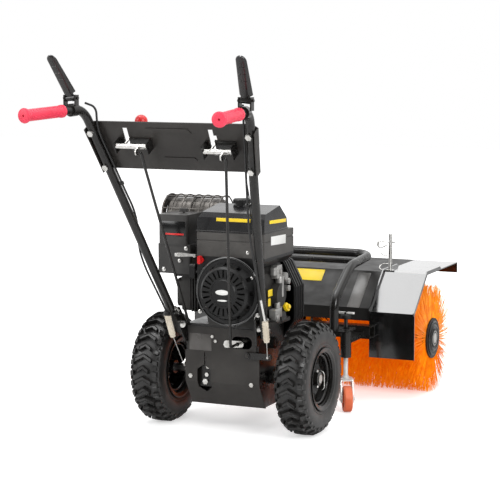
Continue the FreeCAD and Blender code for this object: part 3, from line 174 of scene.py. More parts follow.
finishes = {
    "framePaint": dict(sheen=0.30, dark=(0.0055, 0.005, 0.0045), light=(0.012, 0.011, 0.010),
                       worn=(0.040, 0.037, 0.034),
                       wearAmount=0.30, smooth=0.22, rough=0.38, grainScale=420.0, grainStrength=0.12,
                       coat=0.25, coatRoughness=0.12),
    "coverPaint": dict(sheen=0.35, dark=(0.020, 0.0175, 0.0155), light=(0.034, 0.031, 0.028),
                       worn=(0.08, 0.075, 0.07),
                       wearAmount=0.30, smooth=0.32, rough=0.48, grainScale=420.0, grainStrength=0.15),
    "hoodPaint": dict(dark=(0.003, 0.003, 0.003), light=(0.006, 0.006, 0.006), worn=(0.02, 0.02, 0.02),
                      wearAmount=0.15, smooth=0.10, rough=0.20, grainScale=260.0, grainStrength=0.05,
                      coat=1.0, coatRoughness=0.10),
    "hoodMiddlePaint": dict(sheen=0.28, dark=(0.007, 0.0065, 0.006), light=(0.016, 0.015, 0.014),
                            worn=(0.05, 0.047, 0.043),
                            wearAmount=0.30, smooth=0.40, rough=0.58, grainScale=380.0, grainStrength=0.12),
    "zincPlate": dict(dark=(0.50, 0.49, 0.46), light=(0.74, 0.73, 0.71), worn=(0.36, 0.34, 0.30),
                      wearAmount=0.5, smooth=0.20, rough=0.38, metal=1.0, grainScale=700.0,
                      grainStrength=0.2, broadScale=60.0),
    "paleZinc": dict(dark=(0.60, 0.59, 0.57), light=(0.80, 0.79, 0.77), worn=(0.42, 0.40, 0.37),
                     wearAmount=0.5, smooth=0.30, rough=0.48, metal=0.35, grainScale=600.0,
                     grainStrength=0.2, broadScale=40.0),
    "brightSteel": dict(dark=(0.42, 0.41, 0.39), light=(0.60, 0.59, 0.57), worn=(0.28, 0.27, 0.25),
                        wearAmount=0.4, smooth=0.24, rough=0.42, metal=1.0, grainScale=900.0,
                        grainStrength=0.2, broadScale=40.0),
    "cleanerGrey": dict(dark=(0.026, 0.025, 0.024), light=(0.050, 0.048, 0.046), worn=(0.09, 0.088, 0.085),
                        wearAmount=0.25, smooth=0.26, rough=0.42, grainScale=420.0, grainStrength=0.15),
    "housingGrey": dict(dark=(0.052, 0.049, 0.046), light=(0.082, 0.078, 0.073), worn=(0.12, 0.115, 0.11),
                        wearAmount=0.25, smooth=0.34, rough=0.50, grainScale=420.0, grainStrength=0.15),
    "castIron": dict(sheen=0.30, dark=(0.018, 0.017, 0.016), light=(0.040, 0.038, 0.035),
                     worn=(0.10, 0.095, 0.09),
                     wearAmount=0.4, smooth=0.40, rough=0.62, grainScale=520.0, grainStrength=0.5,
                     grainDepth=0.0006),
    "castAluminium": dict(dark=(0.30, 0.295, 0.285), light=(0.52, 0.51, 0.49), worn=(0.14, 0.135, 0.125),
                          wearAmount=0.5, smooth=0.34, rough=0.54, metal=0.75, grainScale=560.0,
                          grainStrength=0.5, grainDepth=0.0006),
    "engineShroud": dict(sheen=0.26, dark=(0.0055, 0.0055, 0.0055), light=(0.012, 0.012, 0.012),
                         worn=(0.045, 0.044, 0.042),
                         wearAmount=0.25, smooth=0.24, rough=0.42, grainScale=500.0, grainStrength=0.22),
    "tankPaint": dict(sheen=0.28, dark=(0.008, 0.008, 0.0085), light=(0.016, 0.016, 0.017),
                      worn=(0.05, 0.05, 0.05),
                      wearAmount=0.2, smooth=0.18, rough=0.32, grainScale=420.0, grainStrength=0.1,
                      coat=0.5, coatRoughness=0.1),
    "mouldedBlack": dict(sheen=0.30, dark=(0.007, 0.007, 0.007), light=(0.014, 0.014, 0.014),
                         worn=(0.04, 0.04, 0.04),
                         wearAmount=0.3, smooth=0.34, rough=0.52, grainScale=900.0, grainStrength=0.35,
                         grainDepth=0.0004),
    "mouldedGloss": dict(dark=(0.006, 0.006, 0.006), light=(0.012, 0.0115, 0.011), worn=(0.03, 0.03, 0.03),
                         wearAmount=0.3, smooth=0.20, rough=0.34, grainScale=900.0, grainStrength=0.2,
                         grainDepth=0.0003),
    "mufflerSteel": dict(dark=(0.07, 0.065, 0.06), light=(0.15, 0.14, 0.13), worn=(0.13, 0.08, 0.05),
                         wearAmount=0.5, smooth=0.34, rough=0.55, metal=0.9, grainScale=300.0,
                         grainStrength=0.25, broadScale=22.0),
    "tyreRubber": dict(sheen=0.60, dark=(0.008, 0.0075, 0.007), light=(0.017, 0.016, 0.015),
                       worn=(0.055, 0.051, 0.046),
                       wearAmount=0.50, wearScale=60.0, smooth=0.34, rough=0.52, grainScale=650.0,
                       grainStrength=0.4, grainDepth=0.0005),
    "gripRubber": dict(dark=(0.72, 0.030, 0.070), light=(0.86, 0.055, 0.105), worn=(0.60, 0.02, 0.05),
                       wearAmount=0.35, smooth=0.38, rough=0.55, grainScale=1100.0, grainStrength=0.3,
                       grainDepth=0.0003),
    "redPlastic": dict(dark=(0.55, 0.012, 0.014), light=(0.72, 0.024, 0.022), worn=(0.45, 0.01, 0.01),
                       wearAmount=0.3, smooth=0.26, rough=0.40, grainScale=700.0, grainStrength=0.15),
    "casterRubber": dict(dark=(0.62, 0.10, 0.03), light=(0.80, 0.17, 0.06), worn=(0.45, 0.06, 0.02),
                         wearAmount=0.3, smooth=0.32, rough=0.48, grainScale=700.0, grainStrength=0.2),
    "yellowPlate": dict(dark=(0.84, 0.58, 0.012), light=(0.92, 0.68, 0.025), worn=(0.66, 0.44, 0.02),
                        wearAmount=0.35, smooth=0.30, rough=0.44, grainScale=900.0, grainStrength=0.1),
    "whitePlate": dict(dark=(0.66, 0.66, 0.64), light=(0.80, 0.80, 0.78), worn=(0.5, 0.5, 0.48),
                       wearAmount=0.35, smooth=0.30, rough=0.44, grainScale=900.0, grainStrength=0.1),
    # pale grey of the hood strips, a painted sheen where the hood slope catches the light
    "paintedSheenPlate": dict(dark=(0.060, 0.058, 0.055), light=(0.115, 0.110, 0.104), worn=(0.16, 0.155, 0.15),
                       wearAmount=0.3, smooth=0.26, rough=0.40, grainScale=900.0, grainStrength=0.05,
                       broadScale=16.0),
    "darkPlate": dict(dark=(0.004, 0.004, 0.004), light=(0.008, 0.008, 0.008), worn=(0.03, 0.03, 0.03),
                      wearAmount=0.2, smooth=0.14, rough=0.24, grainScale=900.0, grainStrength=0.05),
    "sheenPlate": dict(dark=(0.065, 0.060, 0.056), light=(0.105, 0.098, 0.092), worn=(0.15, 0.14, 0.135),
                       wearAmount=0.3, smooth=0.26, rough=0.40, grainScale=900.0, grainStrength=0.05),
    "orangeBristle": dict(dark=(0.78, 0.20, 0.001), light=(1.0, 0.37, 0.004),
                          # the bristles glow with their own orange, painted light that lifts them above what
                          # the lamps give
                          worn=(1.0, 0.55, 0.05), paintedGlow=0.16,
                          wearAmount=0.6, wearScale=120.0, smooth=0.34, rough=0.54, grainScale=1500.0,
                          grainStrength=0.3, grainDepth=0.0005, broadScale=55.0),
    "cableSheath": dict(dark=(0.006, 0.006, 0.006), light=(0.012, 0.012, 0.012), worn=(0.03, 0.03, 0.03),
                        wearAmount=0.3, smooth=0.30, rough=0.46, grainScale=900.0, grainStrength=0.2),
    "creamRubber": dict(dark=(0.56, 0.50, 0.40), light=(0.72, 0.66, 0.56), worn=(0.40, 0.34, 0.26),
                        wearAmount=0.5, smooth=0.45, rough=0.62, grainScale=700.0, grainStrength=0.3),
}
made = {name: makeFinish(name, look) for name, look in finishes.items()}


def dress(names, finish):
    for name in names.split():
        node = nodes[name]
        node.data.materials.clear()
        node.data.materials.append(made[finish])


def zoneMask(tree, coords, zone):
    # 1 inside the zone and 0 outside it: a ball or a tube about an axis, or one side of a plane
    kind, at, size = zone[0], Vector(zone[1]), zone[2]
    if kind == "above":
        along = mathNode(tree, "VectorMath", "DOT_PRODUCT", coords, at).outputs["Value"]
        return mathNode(tree, "Math", "GREATER_THAN", along, size).outputs[0]
    keep = {"ball": (1, 1, 1), "tubeX": (0, 1, 1), "tubeZ": (1, 1, 0)}[kind]
    flat = mathNode(tree, "VectorMath", "MULTIPLY", coords, keep).outputs["Vector"]
    centre = Vector([value * kept for value, kept in zip(at, keep)])
    away = mathNode(tree, "VectorMath", "DISTANCE", flat, centre).outputs["Value"]
    return mathNode(tree, "Math", "LESS_THAN", away, size).outputs[0]


def makeZoned(name, base, zones):
    # the base finish, with other finishes inside the zones, later ones over earlier ones
    material, tree, shader = newMaterial(name)
    look = finishes[base]
    coords = tree.nodes.new("ShaderNodeTexCoord").outputs["Object"]
    grain = noiseNode(tree, coords, look["grainScale"], 3.0)
    broad = noiseNode(tree, coords, look.get("broadScale", 14.0), 6.0, 0.62)

    def tones(finish):
        tone = finishes[finish]
        ramp = rampNode(tree, broad.outputs["Fac"], [(0.35, tone["dark"]), (0.62, tone["light"])])
        gloss = rangeNode(tree, broad.outputs["Fac"], tone["smooth"], tone["rough"])
        return ramp.outputs["Color"], gloss.outputs["Result"], tone.get("metal", 0.0)

    colour, gloss, metal = tones(base)
    for zone in zones:
        mask = zoneMask(tree, coords, zone)
        overColour, overGloss, overMetal = tones(zone[3])
        colour = mixColours(tree, mask, colour, overColour)
        gloss = mixNode(tree, mask, gloss, overGloss)
        metal = mixNode(tree, mask, metal, overMetal)
    link(tree, colour, shader.inputs["Base Color"])
    link(tree, gloss, shader.inputs["Roughness"])
    link(tree, metal, shader.inputs["Metallic"])
    shader.inputs["Specular IOR Level"].default_value = look.get("sheen", 0.5)
    if look.get("coat"):
        shader.inputs["Coat Weight"].default_value = look["coat"]
        shader.inputs["Coat Roughness"].default_value = look["coatRoughness"]
    bump = bumpNode(tree, grain.outputs["Fac"], 0.25, 0.0003)
    link(tree, bump.outputs["Normal"], shader.inputs["Normal"])
    made[name] = material


finishOf = {
    "framePaint": "chassis_housing handle_tube_left handle_tube_right swivel_fork head_gearbox guard_tube "
                  "head_frame shift_rod_left shift_rod_right clutch_arm_right caster_slider_left "
                  "caster_slider_right control_brackets rim_left rim_right",
    "coverPaint": "rear_cover dash_panel",
    "hoodMiddlePaint": "hood_centre",
    "zincPlate": "chassis_bolts click_pins r_clips cable_wire_left cable_wire_right shift_arm_right "
                 "clutch_arm_left choke_lever",
    "paleZinc": "caster_fork_left caster_fork_right",
    "brightSteel": "axle_shaft drive_shaft",
    "engineShroud": "recoil_cover belt_cover",
    "cleanerGrey": "air_cleaner",
    "castIron": "flywheel engine_block",
    "tankPaint": "fuel_tank",
    "mouldedBlack": "fuel_cap recoil_handle clutch_lever_left clutch_lever_right",
    "mufflerSteel": "muffler muffler_guard",
    "tyreRubber": "tyre_left tyre_right",
    "gripRubber": "grip_left grip_right",
    "yellowPlate": "oil_cap",
    "orangeBristle": "brush_bristles",
}
for finish, names in finishOf.items():
    dress(names, finish)

zonedLook = {  # base finish, nodes that wear it, and the zones with other finishes
    "leverZinc": ("zincPlate", "shift_lever_left shift_lever_right",
                  [("above", (0.0, 0.0, 1.0), 0.905, "redPlastic")]),
    "brushHub": ("mouldedBlack", "brush_core", [("tubeX", brushCentre, 0.016, "zincPlate")]),
    "switchKey": ("mouldedBlack", "engine_switch", [("above", (0.0, -1.0, 0.0), 0.2455, "redPlastic")]),
    "cableAndBoot": ("cableSheath", "control_cables",
                     [("above", (0.0, 0.0, -1.0), -0.350, "creamRubber"),
                      ("ball", place(154.0, -158.0, 392.0), 0.043, "paleZinc"),
                      ("ball", place(-187.0, -180.0, 400.0), 0.034, "paleZinc")]),
    "housingTwoTone": ("engineShroud", "blower_housing", [("above", (0.0, 0.0, 1.0), 0.524, "housingGrey")]),
}
for side, sign in (("left", -1), ("right", 1)):
    casterCentre = place(sign * 229.0, 317.0, 40.0)
    postCentre = place(sign * 250.0, 645.0, 0.0)
    zonedLook["casterTread" + side] = ("casterRubber", "caster_wheel_" + side,
                                       [("tubeX", casterCentre, 0.012, "paleZinc")])
    zonedLook["crankBar" + side] = ("mouldedBlack", "caster_crank_" + side,
                                    [("above", (0.0, 0.0, 1.0), 0.300, "paleZinc")])
    zonedLook["hoodAndPost" + side] = ("hoodPaint", "hood_" + side,
                                       [("tubeZ", postCentre, 0.0105, "zincPlate")])
for name, (base, names, zones) in zonedLook.items():
    makeZoned(name, base, zones)
    dress(names, name)
undressed = [name for name, node in nodes.items() if not node.data.materials
             or node.data.materials[0].name not in made]
print("finishes ready:", len(made), "undressed:", undressed)


def clearSelection():
    if bpy.context.mode != "OBJECT":
        bpy.ops.object.mode_set(mode="OBJECT")
    bpy.ops.object.select_all(action="DESELECT")


def pick(piece):
    clearSelection()
    piece.select_set(True)
    bpy.context.view_layer.objects.active = piece


def freeze(piece):
    pick(piece)
    bpy.ops.object.transform_apply(location=True, rotation=True, scale=True)


def addModifier(piece, kind, **settings):
    pick(piece)
    modifier = piece.modifiers.new(kind.lower(), kind)
    for key, value in settings.items():
        setattr(modifier, key, value)
    bpy.ops.object.modifier_apply(modifier=modifier.name)


def joinAll(parts):
    clearSelection()
    for part in parts:
        part.select_set(True)
    bpy.context.view_layer.objects.active = parts[0]
    bpy.ops.object.join()
    return parts[0]


def settle(piece, name, finish, body, replaced=(), smooth=35.0):
    # name, finish and body of a piece whose place is already in its mesh
    freeze(piece)
    bpy.ops.object.shade_smooth_by_angle(angle=math.radians(smooth))
    piece.name = name
    piece.data.name = name
    piece.data.materials.clear()
    piece.data.materials.append(made[finish])
    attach(piece, body)
    if replaced:
        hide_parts(*replaced)
    piece.select_set(False)
    print("made", name, len(piece.data.polygons), "faces")


def meshPiece(points, faces):
    mesh = bpy.data.meshes.new("draft")
    mesh.from_pydata(points, [], faces)
    mesh.update()
    piece = bpy.data.objects.new("draft", mesh)
    bpy.context.scene.collection.objects.link(piece)
    return piece


def rightWay(piece):
    pick(piece)
    bpy.ops.object.mode_set(mode="EDIT")
    bpy.ops.mesh.select_all(action="SELECT")
    bpy.ops.mesh.remove_doubles(threshold=0.00002)
    bpy.ops.mesh.normals_make_consistent(inside=False)
    bpy.ops.object.mode_set(mode="OBJECT")


def block(middle, size, width):
    # a box with rounded edges, from its middle and size in metres
    bpy.ops.mesh.primitive_cube_add(size=1.0, location=middle)
    box = bpy.context.object
    box.scale = size
    freeze(box)
    addModifier(box, "BEVEL", width=width, segments=3)
    return box


def aboutAxle(centre, x, radius, turn):
    # a point at this radius and turn about an axle through the centre, x along it
    return Vector((centre.x + x, centre.y - radius * math.sin(turn), centre.z + radius * math.cos(turn)))


def turnProfile(profile, centre, steps, closed=True):
    # points and faces of a profile in x and radius, turned about the axle
    count = len(profile)
    points = [aboutAxle(centre, x, radius, 2 * math.pi * step / steps)
              for step in range(steps) for x, radius in profile]
    faces = []
    for step in range(steps):
        here, after = step * count, (step + 1) % steps * count
        for spot in range(count if closed else count - 1):
            following = (spot + 1) % count
            faces.append((here + spot, here + following, after + following, after + spot))
    return points, faces


def turnedRings(profiles, centre, steps):
    points, faces = [], []
    for profile in profiles:
        base = len(points)
        ringPoints, ringFaces = turnProfile(profile, centre, steps)
        points.extend(ringPoints)
        faces.extend([tuple(base + index for index in face) for face in ringFaces])
    rings = meshPiece(points, faces)
    rightWay(rings)
    return rings


bristleLook = {
    "reach": 0.381, "gap": 0.037, "rowsPerSide": 16, "perRow": 420, "seed": 11,
    "root": 0.031, "tip": 0.1757, "ragged": 0.012, "thick": 0.0011, "sway": 0.011, "swing": 0.040,
    "bend": 0.02, "overGap": 0.003, "taper": ((0.0, 1.0), (0.55, 0.9), (1.0, 0.55)),
}


def buildBristles():
    # each filament is a three-sided rod of three rings, thinner to its tip
    look = bristleLook
    random.seed(look["seed"])
    points, faces = [], []
    pitch = (look["reach"] - look["gap"]) / look["rowsPerSide"]
    innerX = look["gap"] - look["overGap"]
    for side in (-1, 1):
        for row in range(look["rowsPerSide"]):
            rowX = side * (look["gap"] + (row + 0.5) * pitch)
            for count in range(look["perRow"]):
                angle = 2 * math.pi * (count + random.random()) / look["perRow"]
                reach = look["tip"] - look["ragged"] * random.random() ** 3
                lean = random.uniform(-1, 1) * look["sway"]
                swing = random.gauss(0.0, 1.0) * look["swing"]
                outer = abs(rowX + lean)
                if outer > look["reach"]:
                    lean -= side * (outer - look["reach"])
                bend = random.uniform(-look["bend"], look["bend"])
                rings = []
                for share, width in look["taper"]:
                    radius = look["root"] + (reach - look["root"]) * share
                    turn = angle + swing * share + bend * math.sin(share * math.pi)
                    offX = rowX + lean * share ** 1.4
                    if side * offX < innerX:
                        offX = side * innerX
                    middle = aboutAxle(brushCentre, offX, radius, turn)
                    half = look["thick"] * width
                    across = Vector((0.0, -math.cos(turn), -math.sin(turn))) * half
                    sideways = Vector((half * 0.87, 0.0, 0.0))
                    rings.append(len(points))
                    points.extend([middle + across, middle - across * 0.5 + sideways,
                                   middle - across * 0.5 - sideways])
                for low, high in zip(rings, rings[1:]):
                    for edge in range(3):
                        after = (edge + 1) % 3
                        faces.append((low + edge, low + after, high + after, high + edge))
                faces.append((rings[-1], rings[-1] + 1, rings[-1] + 2))
                faces.append((rings[0] + 2, rings[0] + 1, rings[0]))
    settle(meshPiece(points, faces), "brushFilaments", "orangeBristle", "brush",
           replaced=("brush_bristles",), smooth=60.0)


tyreLook = {
    "crown": 0.1525, "flat": 0.030, "flatDrop": 0.0012, "shoulder": 0.014, "shoulderDrop": 0.0105,
    "profile": [(0.0412, 0.0796), (0.0425, 0.0890), (0.0455, 0.0925), (0.0478, 0.1010), (0.0466, 0.1030),
                (0.0483, 0.1060), (0.0490, 0.1180), (0.0490, 0.1290), (0.0476, 0.1360), (0.0456, 0.1405),
                (0.0425, 0.1445), (0.0385, 0.1475), (0.0310, 0.1510), (0.0180, 0.1521), (0.0, 0.1525)],
    "steps": 96, "pairs": 15, "foot": -0.004, "taperAcross": 0.06, "taperRound": 0.10,
    "arm": 0.0125, "armInset": 0.0024, "grooveDeep": 0.0030,
    "wide": dict(half=0.0290, peak=0.0150, low=0.0, rise=0.0122),
    "narrow": dict(half=0.0200, peak=0.0140, low=0.001, rise=0.0118),
    "stud": dict(corners=[(0.0300, 0.008), (0.0432, 0.006), (0.0432, -0.009), (0.0300, -0.007)],
                 rise=0.0100, inset=0.0028, sink=0.0030, phase=0.35),
    "small": dict(corners=[(0.0425, 0.006), (0.0470, 0.005), (0.0470, -0.007), (0.0425, -0.006)],
                  rise=0.0072, inset=0.0010, sink=0.0008, phase=0.85),
}


def crownRadius(x):
    # carcass radius across the tread and over the shoulder
    look = tyreLook
    x = abs(x)
    if x < look["flat"]:
        return look["crown"] - look["flatDrop"] * (x / look["flat"]) ** 2
    past = (x - look["flat"]) / look["shoulder"]
    return look["crown"] - look["flatDrop"] - look["shoulderDrop"] * past ** 2


def lugPatch(quads, rise, inset, sink):
    # blocks drawn flat, x across the tread and s along it in metres, to be bent round the tyre
    work = bmesh.new()
    corners = {}
    tops = []
    for quad in quads:
        for corner in quad:
            if corner not in corners:
                corners[corner] = work.verts.new((*corner, tyreLook["foot"]))
        tops.append(work.faces.new([corners[corner] for corner in quad]))
    raised = bmesh.ops.extrude_face_region(work, geom=tops)["geom"]
    lifted = [item for item in raised if isinstance(item, bmesh.types.BMVert)]
    middle = sum((vert.co for vert in lifted), Vector()) / len(lifted)
    for vert in lifted:
        vert.co.z = rise
        vert.co.x += (middle.x - vert.co.x) * tyreLook["taperAcross"]
        vert.co.y += (middle.y - vert.co.y) * tyreLook["taperRound"]
    topFaces = [item for item in raised if isinstance(item, bmesh.types.BMFace)]
    bmesh.ops.delete(work, geom=tops, context="FACES_ONLY")
    bmesh.ops.inset_region(work, faces=topFaces, thickness=inset, depth=0.0)
    for vert in {vert for face in topFaces for vert in face.verts}:
        vert.co.z -= sink
    return work


def bendOntoTyre(source, angle, centre, points, faces):
    base = len(points)
    for vert in source.verts:
        radius = crownRadius(vert.co.x) + vert.co.z
        points.append(aboutAxle(centre, vert.co.x, radius, angle - vert.co.y / tyreLook["crown"]))
    source.verts.index_update()
    for face in source.faces:
        faces.append([base + vert.index for vert in face.verts])


def chevron(half, peak, arm, low):
    return [((-half, low), (0.0, peak), (0.0, peak - arm), (-half, low - arm)),
            ((0.0, peak), (half, low), (half, low - arm), (0.0, peak - arm))]


def mirrored(quad):
    # the same block on the other side of the tread, its corners in the same turning order
    return [(-quad[spot][0], quad[spot][1]) for spot in (1, 0, 3, 2)]


def buildTyre(side):
    look, centre = tyreLook, wheelCentre[side]
    ring = look["profile"] + [(-x, radius) for x, radius in reversed(look["profile"][:-1])]
    points, faces = turnProfile(ring, centre, look["steps"], closed=False)
    lugs = {}
    for key in ("wide", "narrow"):
        lug = look[key]
        quads = chevron(lug["half"], lug["peak"], look["arm"], lug["low"])
        lugs[key] = lugPatch(quads, lug["rise"], look["armInset"], look["grooveDeep"])
    for key in ("stud", "small"):
        lug = look[key]
        for way, quad in (("Right", lug["corners"]), ("Left", mirrored(lug["corners"]))):
            lugs[key + way] = lugPatch([quad], lug["rise"], lug["inset"], lug["sink"])
    pitch = math.pi / look["pairs"]
    for step in range(2 * look["pairs"]):
        bendOntoTyre(lugs["narrow" if step % 2 else "wide"], step * pitch, centre, points, faces)
        for key in ("stud", "small"):
            for way in ("Right", "Left"):
                bendOntoTyre(lugs[key + way], (step + look[key]["phase"]) * pitch, centre, points, faces)
    for lug in lugs.values():
        lug.free()
    tyre = meshPiece(points, faces)
    rightWay(tyre)
    settle(tyre, "treadedTyre" + side, "tyreRubber", "axle",
           replaced=("tyre_" + side.lower(),), smooth=32.0)


rimLook = {
    "lip": [(0.0405, 0.0800), (0.0432, 0.0808), (0.0452, 0.0850), (0.0470, 0.0898), (0.0490, 0.0915),
            (0.0496, 0.0900), (0.0478, 0.0860), (0.0462, 0.0818), (0.0448, 0.0782), (0.0405, 0.0775)],
    "step": [(0.0300, 0.0660), (0.0330, 0.0665), (0.0345, 0.0690), (0.0345, 0.0720), (0.0325, 0.0740),
             (0.0290, 0.0740)],
}


def buildRimLips(side):
    profiles = [[(x * mirror, radius) for x, radius in rimLook[key]]
                for mirror in (1, -1) for key in ("lip", "step")]
    lips = turnedRings(profiles, wheelCentre[side], 96)
    settle(lips, "rimLips" + side, "framePaint", "axle", smooth=50.0)


gripLook = {
    "elbow": (247.0, -452.0, 954.0), "tip": (279.0, -702.0, 945.0), "length": 0.160, "overhang": 0.004,
    "radius": 0.0158, "collar": 0.0016, "collarLong": 0.008, "bulge": 0.0212, "bulgeLong": 0.022,
    "endRound": 0.007, "endShare": 0.62, "knurl": 0.00075, "knurlTurns": 15, "knurlTwist": 900,
    "vent": 0.24, "ventDeep": 0.006, "ventEnd": 0.02, "mouth": 0.0127, "rings": 130, "around": 60,
}


def gripRadius(at, total):
    # radius without the knurl at this length from the mouth, and the height of the knurl there
    look = gripLook
    radius, knurl = look["radius"], look["knurl"]
    if at < look["collarLong"]:
        radius += look["collar"]
        knurl = 0.0
    fromEnd = total - at
    if fromEnd < look["bulgeLong"]:
        share = 1 - fromEnd / look["bulgeLong"]
        radius += (look["bulge"] - look["radius"]) * math.sin(share * math.pi / 2) ** 2
        knurl = 0.0
    if fromEnd < look["endRound"]:
        arch = math.sqrt(max(0.0, 1 - (1 - fromEnd / look["endRound"]) ** 2))
        radius *= look["endShare"] + (1 - look["endShare"]) * arch
    return radius, knurl


def buildGrip(side, sign):
    look = gripLook
    around = look["around"]
    turns = [2 * math.pi * spot / around for spot in range(around)]
    elbow, tip = [place(sign * x, y, z) for x, y, z in (look["elbow"], look["tip"])]
    along = (tip - elbow).normalized()
    base = tip - along * look["length"]
    flat = along.cross(Vector((0, 0, 1))).normalized()
    up = flat.cross(along).normalized()
    points, faces = [], []

    def addRing(depth, widths):
        centre = base + along * depth
        points.extend(centre + flat * wide * math.cos(turn) + up * wide * math.sin(turn)
                      for wide, turn in zip(widths, turns))
        return len(points) - around

    def bridge(first, second):
        for spot in range(around):
            after = (spot + 1) % around
            faces.append((first + spot, first + after, second + after, second + spot))

    total = look["length"] + look["overhang"]
    last = None
    for ring in range(look["rings"] + 1):
        at = total * ring / look["rings"]
        radius, knurl = gripRadius(at, total)
        twist = at * look["knurlTwist"]
        waves = [(math.cos(turn * look["knurlTurns"] + twist), math.cos(turn * look["knurlTurns"] - twist))
                 for turn in turns]
        first = addRing(at, [radius + knurl * max(one, -0.2) * max(other, -0.2) for one, other in waves])
        if last is not None:
            bridge(last, first)
        last = first
    # end face with the small vent hole, and the mouth closed round the tube
    deep = look["ventDeep"]
    for share, depth in ((look["vent"], 0.0), (look["vent"], deep), (look["ventEnd"], deep)):
        first = addRing(total - depth, [look["bulge"] * look["endShare"] * share] * around)
        bridge(last, first)
        last = first
    faces.append([last + spot for spot in range(around)])
    bridge(addRing(0.0, [look["mouth"]] * around), 0)
    grip = meshPiece(points, faces)
    rightWay(grip)
    settle(grip, "knurledGrip" + side, "gripRubber", "chassis",
           replaced=("grip_" + side.lower(),), smooth=40.0)


def hexBolt(at, axis, size, high, washer):
    # bolt head with a chamfered crown, on a washer
    bpy.ops.mesh.primitive_cylinder_add(vertices=6, radius=size, depth=high, location=(0, 0, high / 2))
    head = bpy.context.object
    freeze(head)
    addModifier(head, "BEVEL", width=size * 0.12, segments=2)
    bpy.ops.mesh.primitive_cylinder_add(vertices=28, radius=washer, depth=0.0012, location=(0, 0, -0.0004))
    ring = bpy.context.object
    freeze(ring)
    addModifier(ring, "BEVEL", width=0.0003, segments=2)
    whole = joinAll([head, ring])
    turn = Vector(axis).normalized().to_track_quat("Z", "Y").to_matrix().to_4x4()
    whole.data.transform(Matrix.Translation(at) @ turn)
    return whole


def wireLoop(spots, radius, closed=False):
    # round wire that passes smoothly near the spots
    data = bpy.data.curves.new("wire", "CURVE")
    data.dimensions = "3D"
    data.bevel_depth = radius
    data.bevel_resolution = 3
    data.resolution_u = 8
    spline = data.splines.new("NURBS")
    spline.points.add(len(spots) - 1)
    for point, spot in zip(spline.points, spots):
        point.co = (*spot, 1.0)
    spline.order_u = 3
    spline.use_cyclic_u = closed
    spline.use_endpoint_u = not closed
    data.use_fill_caps = not closed
    curve = bpy.data.objects.new("wire", data)
    bpy.context.scene.collection.objects.link(curve)
    pick(curve)
    bpy.ops.object.convert(target="MESH")
    return bpy.context.object


clipLook = {"post": (250.0, 645.0), "wire": 0.0013, "ringWire": 0.0012}


def buildClipRings():
    # the spring loop that hangs from each cross pin, and a loose ring low on each post
    postX, postY = clipLook["post"]
    parts = []
    for sign in (-1, 1):
        x = sign * postX
        hanging = [(-30, 491), (-39, 491), (-41, 482), (-37, 462), (-31, 450), (-19, 445), (-11, 447)]
        parts.append(wireLoop([place(x + dx, postY, z) for dx, z in hanging], clipLook["wire"]))
        ring = []
        for step in range(12):
            turn = 2 * math.pi * step / 12
            ring.append(place(x - 17 + 20 * math.cos(turn), postY + 9 * math.sin(turn),
                              409 + 10 * math.sin(turn)))
        parts.append(wireLoop(ring, clipLook["ringWire"], True))
    settle(joinAll(parts), "clipRings", "zincPlate", "head", smooth=60.0)


capLook = {
    "rings": [(0.3765, 0.0555), (0.3800, 0.0560), (0.3815, 0.0530), (0.3800, 0.0470), (0.3812, 0.0440),
              (0.3835, 0.0415), (0.3842, 0.0370), (0.3822, 0.0340), (0.3822, 0.0290), (0.3765, 0.0290)],
    "bearing": [(0.3790, 0.0280), (0.3832, 0.0270), (0.3842, 0.0230), (0.3836, 0.0180), (0.3845, 0.0150),
                (0.3847, 0.0080), (0.3790, 0.0080)],
}


def buildBrushCaps():
    for key, name, finish, slotName in (("rings", "brushEndRings", "framePaint", "brush_black"),
                                        ("bearing", "brushEndBearings", "brightSteel", "steel")):
        profiles = [[(sign * x, radius) for x, radius in capLook[key]] for sign in (-1, 1)]
        settle(turnedRings(profiles, brushCentre, 72), name, finish, "brush", smooth=40.0)


paddleLook = {
    "pivot": (258.0, -497.0, 984.0), "splay": 8.0, "lean": 34.0, "length": 138.0, "start": 15.0,
    "baseHalf": 17.5, "tipHalf": 13.5, "round": 15.0, "flange": 10.0, "pocket": 0.9,
    "pockets": ((62.0, 80.0), (84.0, 102.0), (106.0, 123.0)), "across": 60, "along": 110, "wall": 0.0032,
    "boss": 0.0080, "bossLong": 0.0294, "bore": 0.0042, "boreLong": 0.05, "blockEdge": 0.0015,
    "blocks": (((-12.5, -3.0, 6.0), (12.5, 3.4, 22.0)), ((-4.0, 2.0, -13.0), (4.0, 17.0, -5.0))),
}


def paddleSurface(t, u):
    # t in mm up the lever, u from -1 to 1 across it
    look = paddleLook
    share = (t - look["start"]) / (look["length"] - look["start"])
    half = look["baseHalf"] + (look["tipHalf"] - look["baseHalf"]) * share
    past = t - (look["length"] - look["round"])
    if past > 0:
        half *= math.sqrt(max(0.012, 1 - (past / look["round"]) ** 2))
    back = look["flange"] * abs(u) ** 4 * (1 - 0.5 * share)
    if 0.10 < abs(u) < 0.66 and any(low < t < high for low, high in look["pockets"]):
        back += look["pocket"]
    return Vector((half * u, -2.0 + back, t))


